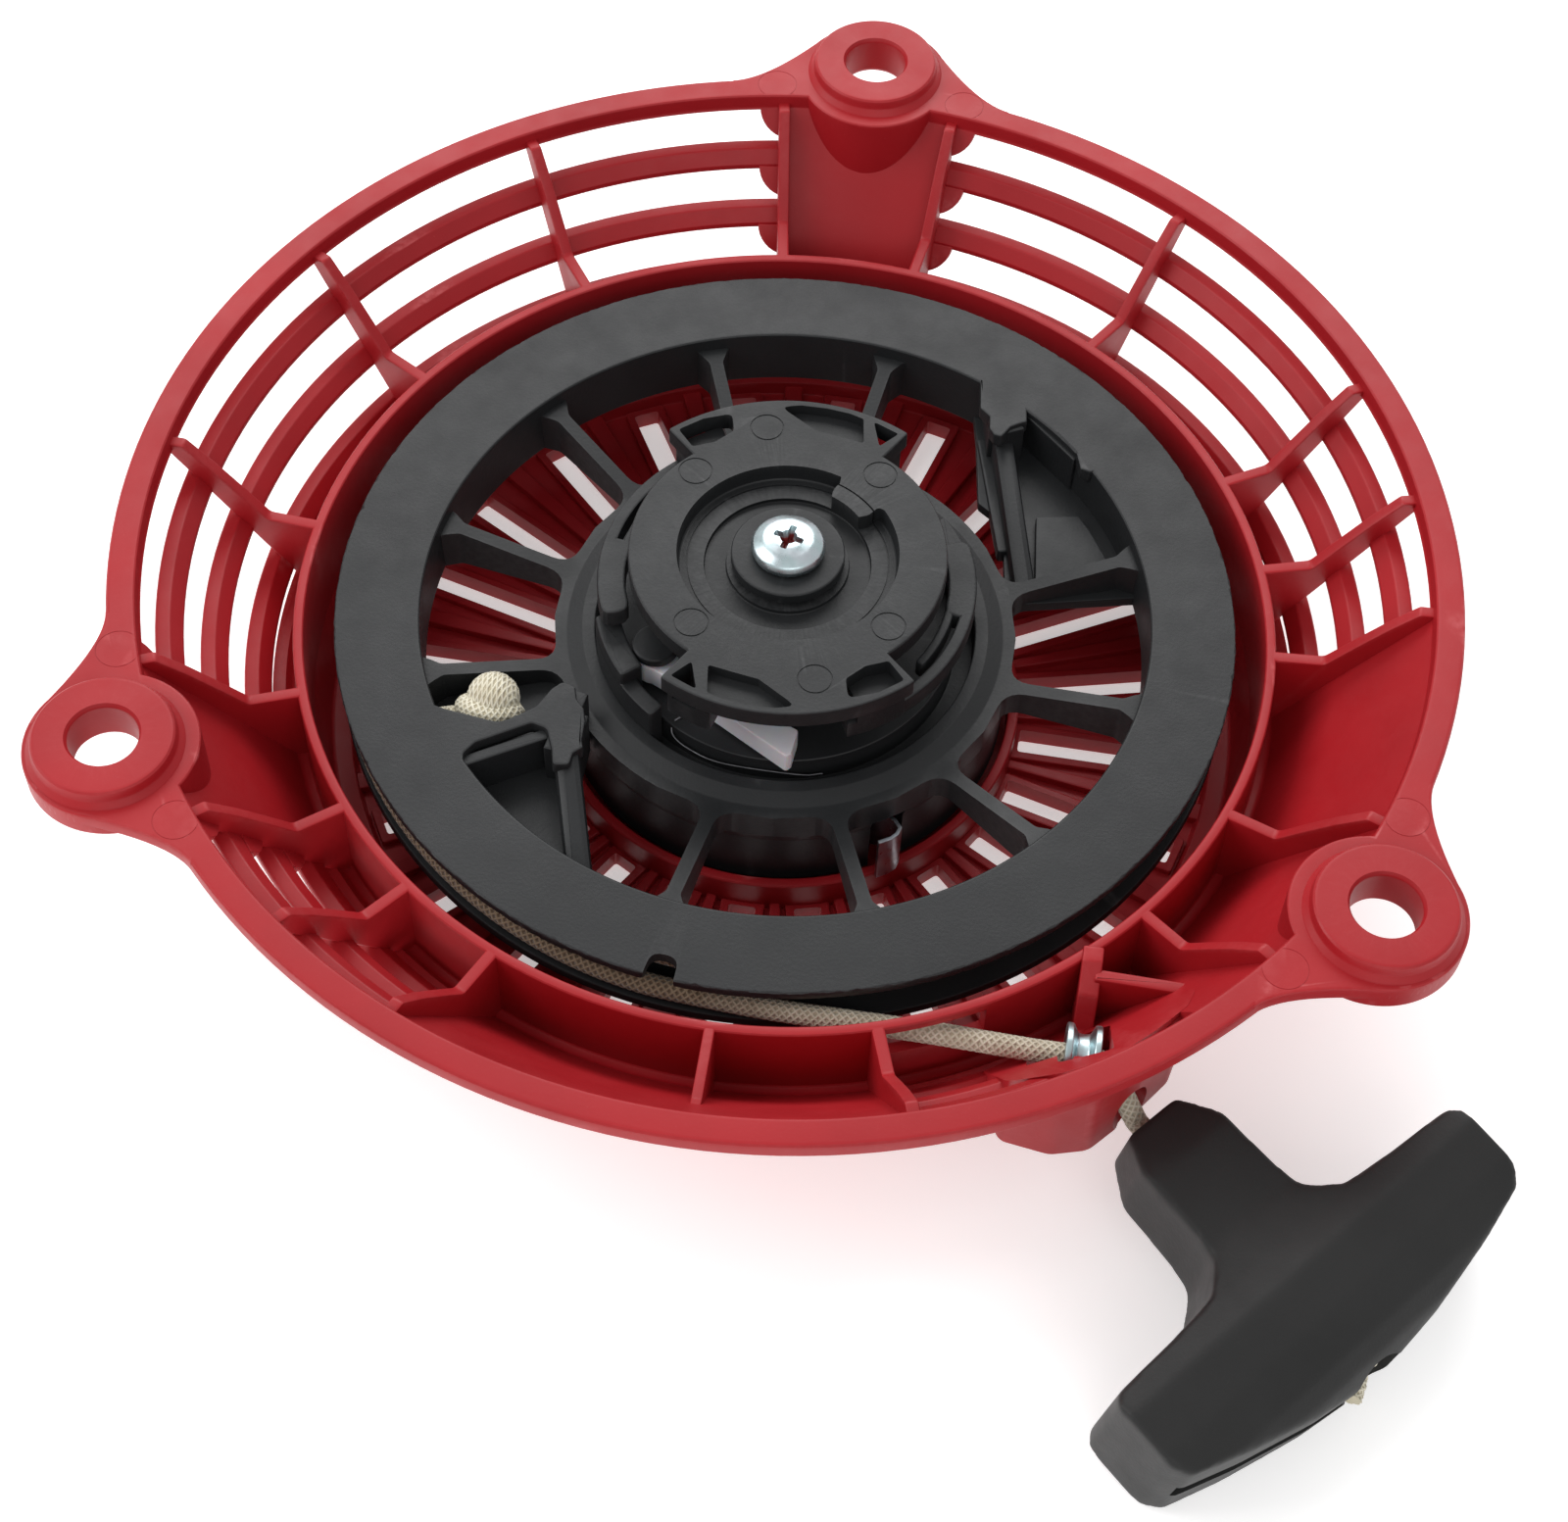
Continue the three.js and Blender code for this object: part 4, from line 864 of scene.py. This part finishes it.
def knot_pocket():
    """Bridge at face level beside the knot, its strut, the pocket's floor and the plate under the knot."""
    bridge = [(-47.2, -24.9, 0), (-44.6, -25.6, 0.8), (-36.3, -26.8, 3), (-31.9, -23.3, 2),
              (-30.4, -20, 1.2), (-29.1, -18.5, 0.8), (-27.1, -19.1, 0.6), (-26.5, -21.2, 0.4),
              (-25.2, -22.6, 0.4), (-24.6, -24.8, 0.4), (-24.5, -28.0, 0.5), (-24.1, -29.2, 0.4),
              (-25.3, -30.4, 0.5), (-25.5, -32.4, 0.8), (-27.8, -32.8, 0.8), (-28.4, -30.2, 1),
              (-29.7, -26.9, 1.2), (-31.9, -26.3, 1), (-39.0, -30.8, 1.5), (-40.2, -32.8, 1),
              (-39.2, -37.6, 0)]
    top = prism(bridge, FACE_Z - 2.4, FACE_Z, 0.4, 0.5)
    pocket_floor = prism([(-42.5, -35, 0), (-29.2, -27, 0), (-26.5, -29.5, 0), (-19.4, -50.2, 0),
                          (-30, -45, 0), (-38, -40, 0)], WEB_LOW, POCKET_TOP, 0.2, 0.3)
    drop = Matrix(((1, 0, 0, 0), (0, 1, 0, 0), (0, 0.2, 1, 6.0), (0, 0, 0, 1)))
    strut = moved(bar((-26.6, -29), (-20.6, -50.2), 3.6, 12.8, 27.2, 1.0, 0.6), drop)
    wall = bar((-29.6, -26.9), (-41.5, -34.2), 1.8, WEB_LOW, FACE_Z - 1, 0.3)
    post = bar((-28.2, -30), (-26.6, -19.4), 3.0, WEB_LOW, FACE_Z - 0.6, 0.3)
    inner_wall = bar((-25.4, -31.5), (-25.2, -23), 1.4, WEB_LOW, FACE_Z - 1, 0.3)
    under_knot = prism([(*polar(52.8, 200.5), 0), (*polar(33, 200.5), 0), (-26.4, -19, 0), (-25, -30, 0),
                        (-29, -27.2, 0), (-42, -34.6, 0), (-46.5, -26, 0)], 18.45, 20.0, 0.2, 0.3)
    return add(top, pocket_floor, strut, wall, post, inner_wall, under_knot)


def face_pocket():
    """Inward lobe of the face opposite the knot, its floor, a ledge and a long leaning strut to the hub."""
    lobe = [(20, 54, 0), (17.6, 51.2, 0.2), (18.1, 50.4, 0.3), (20.2, 51.3, 0.3), (21.6, 50.9, 0.3),
            (23.8, 51.6, 0.4), (22.9, 48.4, 0.8), (23.3, 45, 1.5), (23.6, 41.8, 0.8), (25.2, 40.3, 0.5),
            (25.4, 38.0, 0.6), (26.2, 36.8, 0.6), (27.4, 36.6, 0.6), (28.6, 38.8, 1), (29.8, 39.6, 0.6),
            (30.9, 40.2, 0.4), (30.6, 43.6, 0.3), (38.7, 35.3, 0.8), (39.6, 32.2, 0.5), (41.0, 31.8, 0.6),
            (45.4, 33, 0), (36, 42, 0), (28, 52, 0)]
    top = prism(lobe, FACE_Z - 2.4, FACE_Z, 0.35, 0.5)
    pocket_floor = prism([(22.6, 47.4, 0), (23.6, 42, 0.5), (25.2, 29.6, 0.8), (28.4, 27.2, 0.5),
                          (30, 20, 0.5), (30.8, 13.4, 0), (33.6, 11.4, 0), (50.5, 15.4, 0), (47, 26, 0),
                          (41, 34, 0), (30, 44.5, 0)], WEB_LOW, POCKET_TOP, 0.2, 0.3)
    ledge = prism([(34.0, 27.4, 0.6), (40.4, 28.6, 0.6), (42.4, 25.9, 0.4), (45.2, 21, 0.4),
                   (47.0, 16.4, 0), (35.2, 12.4, 0)], WEB_LOW, 21.6, 0.4)
    lean = Matrix(((1, 0, 0, 0), (0, 1, 0, 0), (0, 0.09, 1, -1.4), (0, 0, 0, 1)))
    strut = moved(bar((27.2, 41), (33.8, 12.4), 3.2, 17.6, 22.8, 1.0, 0.8), lean)
    foot = bar((24.8, 42), (30.2, 20.4), 2.4, WEB_LOW, 20.9, 0.4, 0.6)
    wall = bar((24.6, 49.5), (26.6, 38.6), 2.4, WEB_LOW, FACE_Z - 1, 0.3)
    post = bar((26.2, 38.6), (30, 40.6), 3, WEB_LOW, FACE_Z - 0.6, 0.3)
    rim_wall = bar((30.4, 43.4), (39, 35), 1.4, WEB_LOW, FACE_Z - 1, 0.3)
    return add(top, pocket_floor, ledge, strut, foot, wall, post, rim_wall)


build_reel()


# ------------ wound rope, run, knots
def build_ropes():
    coil = []
    turns, per_turn = 2, 180
    for i in range(turns * per_turn + 1):
        angle = 224 - turns * 360 + 2 * i
        share = i / (turns * per_turn)
        coil.append(polar(55.9 + 3.15 * share, angle, ROPE_Z + 0.5 * math.sin(math.radians(angle * 1.3))))
    inner = tube(smooth_path(coil, 0.9), ROPE_R, 14)
    # the coil's dark brown colour is painted shade
    piece(inner, "wound_rope", "rotor", ROPE_WOUND_SHADE, ("rope_coil",), 60)

    lap = [polar(LAP_R, a, ROPE_Z - 1.1 * min(1, max(0, (a - 222) / 34))) for a in range(150, 267, 6)]
    route = smooth_path([*lap, Vector((8, -63, ROPE_Z - 1.1)), *rope_out()], 0.32)
    run = tube(route, ROPE_R - 0.05, 30, shape=braid())
    piece(run, "run_rope", "case", ROPE_RUN, ("rope_run",), 80)

    weave = braid(0.16, 10, 0.8)
    ball_r = 3.75

    def ball_shape(along, around):
        return math.sqrt(max(0.0, ball_r ** 2 - (along - ball_r) ** 2)) + weave(along, around) * 0.8

    ball = tube([Vector((-42.3 + 0.25 * i, -20.6 - 0.03 * i, 24.9)) for i in range(31)], 0.15, 44,
                shape=ball_shape)
    over = [(-41.8, -20.8, 22.6), (-42.0, -22.8, 24.6), (-40.4, -24.0, 25.6), (-38.2, -24.3, 25.5),
            (-36.2, -23.4, 24.8), (-35.4, -22.0, 23.4)]
    body = together([ball, tube(smooth_path(over, 0.25), 1.75, 28, shape=braid(0.16, 8, 1.2))])
    tail = tube(smooth_path([(-39.5, -22.2, ROPE_Z), (-47, -24.6, ROPE_Z), (-53.4, -26.5, ROPE_Z)], 0.4),
                ROPE_R, 24, shape=braid())
    piece(together([body, tail]), "knot_in_reel", "rotor", ROPE_KNOT, ("reel_knot",), 80)


build_ropes()


# ------------ springs, washer
def strip(path, thick, low, high):
    """A flat spring strip standing on edge along a plan path."""
    left, right = [], []
    for i, p in enumerate(path):
        a, b = Vector(path[max(i - 1, 0)]), Vector(path[min(i + 1, len(path) - 1)])
        side = (b - a).normalized().orthogonal() * thick / 2
        left.append(Vector(p) - side)
        right.append(Vector(p) + side)
    return prism([*left, *right[::-1]], low, high, 0.1, 0)


def build_springs():
    path = [polar(7.9, 312), polar(8.6, 290)]
    turns, per_turn = 6, 48
    for i in range(turns * per_turn + 1):
        share = i / (turns * per_turn)
        path.append(polar(9.6 + 20 * share, 300 + 360 * turns * (share - 1)))
    path += [polar(*p) for p in ((31.2, 303.6), (33.8, 305.6), (35.2, 305.6), (35.9, 304.2), (36.2, 302.5),
                                 (36.2, 299.4))]
    spring = strip(path, 0.6, 8.6, 17.5)
    piece(spring, "coil_spring", "rotor", STEEL, ("recoil_spring",), 30)

    wire = smooth_path([polar(*p) for p in ((18.9, 246, 24.12), (20.6, 242, 24.12), (22.4, 238.5, 24.12),
                                            (24.0, 237, 23.6), (25.0, 239, 22.4), (25.3, 246, 21.9),
                                            (25.3, 258, 21.9), (25.4, 282, 21.7), (25.6, 290, 21.6))], 0.3)
    for number, turn in ((1, 0), (2, 180)):
        piece(turned(tube(wire, 0.17, 12), turn), f"pawl_wire_{number}", "rotor", DARK_STEEL,
              (f"pawl_spring_{number}",), 40)

    steps = 120
    coil = [polar(10.9, 900 * (i / steps), 29.4 + 4.3 * (i / steps)) for i in range(steps + 1)]
    piece(tube(coil, 0.75, 14), "drag_spring", "rotor", STEEL, ("brake_spring",), 40)
    washer = tube_ring(7.4, 13, 27.3, 28.3, 120, 0.2)
    piece(washer, "drag_washer", "rotor", STEEL, ("thrust_washer",))


build_springs()


# ------------ pawls
def build_pawl(number, turn):
    px, py = polar(PIVOT_R, PIVOT_AT)
    boss = [(px + 3.2 * math.cos(a), py + 3.2 * math.sin(a), 0)
            for a in (math.radians(118 + 150 * k / 12) for k in range(13))]
    nose = [on(20.8, 238, 2), on(21.3, 252, 2), on(26.9, 278.2, 0.6), on(26.3, 279.8, 0.5),
            on(22.3, 282.6, 0.5), on(18.2, 252, 3)]
    body = prism([*boss, *nose], 24.4, 28.2, 0.35, 0.3)
    cut(body, disc(1.9, 20, 32, (px, py), 0, 32))
    piece(turned(body, turn), f"pawl_arm_{number}", f"pawl_{'ab'[number - 1]}", nylon_material,
          (f"pawl_{number}",))


nylon_material = nylon()
build_pawl(1, 0)
build_pawl(2, 180)


# ------------ ratchet guide cap
def lobe_half(turn):
    """Raised lobe beside the disc, the two webs that carry it and its three pockets."""
    body = sector(18, 28.2, 60, 136, CAP_LOW, CAP_TOP, 0.35, 0.5)
    web = sector(21.4, BAND_R, 119, 135, ARM_LOW, CAP_LOW + 0.5, 0.2)
    front_web = sector(18.6, BAND_R, 60.6, 75, ARM_LOW, CAP_LOW + 0.5, 0.2)
    add(body, web, front_web)
    deep = prism([on(23.4, 117.6, 0.9), on(22.5, 126, 0.8), on(23.4, 134.0, 0.5), on(27.2, 133.6, 0.5),
                  on(27.2, 125, 0), on(26.6, 115.8, 0.9)], 33, 50, 0, 0.3)
    cam = prism([on(22.8, 69.6, 0.4), on(22.5, 79, 0), on(22.7, 88, 0.5), on(26.8, 100.4, 0.6),
                 on(27.2, 94, 0), on(27.2, 86, 0), on(27.2, 79, 0), on(27.0, 74.2, 0.5)], 38.2, 50, 0, 0.3)
    small = prism([on(23.5, 64.2, 0.3), on(27.1, 62.1, 0.3), on(27.2, 71.0, 0.3)], 34.5, 50, 0, 0.3)
    return turned(cut(body, deep, cam, small), turn)


def arm_half(turn):
    """Arm below the disc's level: a wide end, and a slot that parts a short tongue from the outer band."""
    low, high = ARM_LOW, 34.2
    band = sector(25.0, BAND_R, 116, 190, low, high, 0.45)
    wide = sector(22.85, BAND_R, 172.5, 204, low, high, 0.45, 1.7)
    tongue = sector(22.85, 24.2, 149, 176, low, high - 0.1, 0.4, 0.6)
    riser = sector(21.8, BAND_R, 119, 135, low, 37.4, 0.2)
    return turned(add(band, wide, tongue, riser), turn)


def nose_outline():
    """Round nose that reaches into the cap's recess, with a straight side and a filleted side."""
    centre, r = Vector(polar(13.8, 53.5)), 3.5
    bulb = [(centre.x + r * math.cos(a), centre.y + r * math.sin(a), 0)
            for a in (math.radians(140 + 10 * k) for k in range(18))]
    return [on(19, 72, 0), (5.6, 14.9, 0), *bulb, (11.5, 9.9, 0.8), (13.4, 9.0, 0), on(19, 34, 0)]


def build_cap():
    disc_body = lathe([(5.9, 29, 0), (5.9, CAP_TOP, 0), (CAP_R, CAP_TOP, 0.45), (CAP_R, CAP_LOW, 0.3),
                       (17.2, CAP_LOW, 0.3), (17.2, 35.2, 0.3), (9.4, 35.2, 0.4), (9.4, 29, 0.3)],
                      segments=240)
    add(disc_body, lobe_half(0), lobe_half(180), arm_half(0), arm_half(180))
    recess = lathe([(0, 37.3), (15.4, 37.3, 0.5), (15.7, 41, 0), (0, 41)], segments=144)
    cut(recess, prism(nose_outline(), 36, 45, 0, 0.0001, 5))
    groove = tube_ring(8.6, 11.8, 36.6, 45, 96, 0.3)
    rings = tube_ring(14.1, 14.35, 37.15, 45, 120, 0)
    marks = [pin_mark(2.35, polar(r, a), CAP_TOP, 0.12) for r, a in
             ((23, 105.7), (19.5, 140.7), (19.3, 55.2), (18.5, 232.1), (19, 324.7), (22.5, 287.4))]
    cut(disc_body, recess, groove, rings, together(marks))
    bore = add(disc(5.9, 20, 50, (0, 0), 0, 72), disc(7.4, 20, 35.2, (0, 0), 0, 72))
    cut(disc_body, bore)
    piece(disc_body, "ratchet_cap", "guide", BLACK, ("ratchet_guide",), 30)

    bush = lathe([(3.3, 34.8, 0.2), (5.6, 34.8, 0.2), (5.6, 38.2, 0.2), (BUSH_R, 38.2, 0.3),
                  (BUSH_R, CAP_TOP, 0.4), (3.3, CAP_TOP, 0.2)], segments=96)
    piece(bush, "cap_bush", "case", BLACK, ("retainer_bush",))


build_cap()


# ------------ screw
def build_screw():
    seat, top = 40.3, 43.2
    head = lathe([(0, 18), (2.4, 18, 0.2), (2.9, 19, 0.3), (2.9, seat, 0), (5.0, seat, 0.2),
                  (5.25, 41.2, 0.4), (4.9, 42.0, 0.7), (3.6, 42.75, 2), (2.0, 43.1, 2), (0, top)],
                 segments=96)
    # cross recess: four tapered wings that meet at a pointed centre
    wings = []
    for angle in (-14, 76):
        wing = prism([(-2.6, -0.55, 0.3), (2.6, -0.55, 0.3), (2.6, 0.55, 0.3), (-2.6, 0.55, 0.3)], 41.0, 44,
                     0, 0.3)
        for vertex in wing.data.vertices:
            if vertex.co.z < 42:
                vertex.co.x *= 0.45
                vertex.co.y *= 0.6
        wings.append(turned(wing, angle))
    centre = lathe([(0, 40.7), (0.5, 40.8, 0.1), (1.5, 44, 0), (0, 44)], segments=32)
    cut(head, *wings, centre)
    # painted shade lies in the cross recess below 41.8 mm
    zinc = plated("screw_zinc", (0.60, 0.66, 0.70), (0.52, 0.64, 0.66), (0.24, 0.4), 0.0418)
    piece(head, "pan_screw", "case", zinc, ("centre_screw",), 30)


build_screw()


# ------------ T handle
def remeshed(obj, size, rounds):
    """An even, softly rounded copy of a solid."""
    modifier = obj.modifiers.new("remesh", "REMESH")
    modifier.mode = "VOXEL"
    modifier.voxel_size = size
    soft = obj.modifiers.new("soft", "SMOOTH")
    soft.factor = 0.5
    soft.iterations = rounds
    return applied(obj)


def build_handle():
    half_side = [(29.8, 4.3, 1.0), (24.6, 7.2, 2.5), (14, 7.5, 0), (10.4, 8.2, 2.5), (7.2, 12.2, 2.5),
                 (6.4, 20, 0), (5.8, 30.4, 2.0), (4.2, 31.8, 1.0), (-5.0, 31.8, 1.2), (-7.4, 30.2, 1.2),
                 (-9.8, 22, 5), (-12.2, 11, 5), (-13.5, 0, 5)]
    other = [(x, -y, r) for x, y, r in reversed(half_side[:-1])]
    outline = prism([*half_side, *other], -14, 14, 0, 0.5)
    upper = [(31.5, 4.6, 0), (23, 6.9, 2), (12, 7.2, 3), (6.6, 8.4, 2), (2.6, 9.7, 3), (-4, 9.6, 4),
             (-8.5, 8.4, 3), (-11.5, 6.0, 3), (-13.2, 3, 3)]
    side = [*upper, (-13.8, 0, 3), *[(x, -z, r) for x, z, r in reversed(upper)]]
    profile = turned(prism(side, -37, 37, 0, 0.5), 90, "X")
    grip = remeshed(keep(outline, profile), 0.5, 8)
    # long slot across the outer face, with the rope's end in a round pocket
    slot_points = [(-16, -4.5, 0), (-16, 31, 0), (-6.6, 30.4, 0), (-7.2, 26, 2), (-9.2, 14, 2),
                   (-10.2, 0, 2), (-10.4, -4, 1)]
    slot = prism(slot_points, -1.9, 1.9, 0, 0.5)
    pocket = turned(disc(5.0, -15, -5.2), 90, "Y")
    bore = turned(disc(1.95, -12, 40, edge=0), 90, "Y")
    cut(grip, slot, pocket, bore)
    yaw, tilt = math.radians(GRIP_YAW), math.radians(GRIP_TILT)
    inwards = Vector((math.cos(tilt) * math.cos(yaw), math.cos(tilt) * math.sin(yaw), math.sin(tilt)))
    place = (Matrix.Translation(EXIT - inwards * GRIP_REACH) @ Matrix.Rotation(yaw, 4, "Z")
             @ Matrix.Rotation(-tilt, 4, "Y"))
    piece(moved(grip, place), "t_grip", "handle", GRIP, ("handle_grip",), 40)

    line = tube([Vector((x * 0.5, 0, 0)) for x in range(-16, 60)], ROPE_R - 0.05, 24, shape=braid())
    knot = tube(smooth_path([(-8, -2.6, -1.6), (-10.4, -1.6, 0.4), (-9.6, 1.4, 1.6), (-8.2, 2.4, -0.6),
                             (-9.0, 0, -2.2), (-10.6, 0.6, -0.6), (-11.8, 2.4, 0.1), (-12.9, 4.4, 0.1)],
                            0.3), ROPE_R + 0.1, 24, shape=braid(0.18))
    rope = moved(together([line, knot]), place)
    piece(rope, "grip_rope", "handle", ROPE_KNOT, ("handle_rope",), 80)
    return place


handle_place = build_handle()


# ------------ rope that pays out
def build_payout():
    start = EXIT
    end = handle_place @ Vector((29.4, 0, 0))
    ahead = (end - start).normalized()
    count = 80
    points = [start + (end - start) * i / count for i in range(count + 1)]
    inside = start - (start - rope_out()[3]).normalized() * 0.9
    stub = tube([inside, *points, end + ahead * 0.8], ROPE_R - 0.06, 20)
    stub.name = "payout_rope"
    stub.data.transform(Matrix.Scale(MM, 4))
    for polygon in stub.data.polygons:
        polygon.use_smooth = True
    stub.data.materials.append(ROPE_UNSHADED)
    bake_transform(stub)


build_payout()


# ------------ floor, lights, camera
def build_stage():
    bm = bmesh.new()
    bmesh.ops.create_grid(bm, x_segments=1, y_segments=1, size=3)
    mesh = bpy.data.meshes.new("floor")
    bm.to_mesh(mesh)
    bm.free()
    floor = bpy.data.objects.new("floor", mesh)
    floor.location.z = cad_low.z - 0.0002
    bpy.context.scene.collection.objects.link(floor)
    n = Nodes("pale_floor")
    n.set(Base_Color=n.ramp(n.noise(3, 2), [(0.3, (0.86, 0.86, 0.865)), (0.7, (0.89, 0.89, 0.89))]),
          Roughness=0.7, Specular_IOR_Level=0.2, Emission_Color=(1.0, 0.99, 0.985),
          Emission_Strength=0.45)
    mesh.materials.append(n.material)

    def area(name, at, size, power, target=(0, 0, 0.02)):
        light = bpy.data.lights.new(name, "AREA")
        light.shape = "RECTANGLE"
        light.size, light.size_y = size
        light.energy = power
        obj = bpy.data.objects.new(name, light)
        obj.location = at
        obj.rotation_euler = (Vector(target) - Vector(at)).to_track_quat("-Z", "Y").to_euler()
        bpy.context.scene.collection.objects.link(obj)

    area("back_softbox", (-0.1, 0.8, 0.75), (1.0, 0.6), 7.5)
    area("left_softbox", (-0.8, -0.1, 0.7), (0.6, 0.8), 5)
    area("front_fill", (0.3, -0.9, 0.8), (0.9, 0.6), 2.5)
    world = bpy.data.worlds.new("studio")
    world.use_nodes = True
    world.node_tree.nodes["Background"].inputs["Color"].default_value = (1, 1, 1, 1)
    world.node_tree.nodes["Background"].inputs["Strength"].default_value = 0.62
    bpy.context.scene.world = world
    bpy.context.scene.view_settings.view_transform = "Standard"

    camera = bpy.data.objects.new("camera", bpy.data.cameras.new("camera"))
    camera.data.sensor_width = 36
    camera.data.lens = 66.53
    camera.data.clip_start = 0.01
    camera.location = Vector((28.654, -253.924, 355.785)) * MM
    camera.rotation_euler = [math.radians(a) for a in (34.8104, -1.3042, 8.1791)]
    bpy.context.scene.collection.objects.link(camera)
    bpy.context.scene.camera = camera


build_stage()
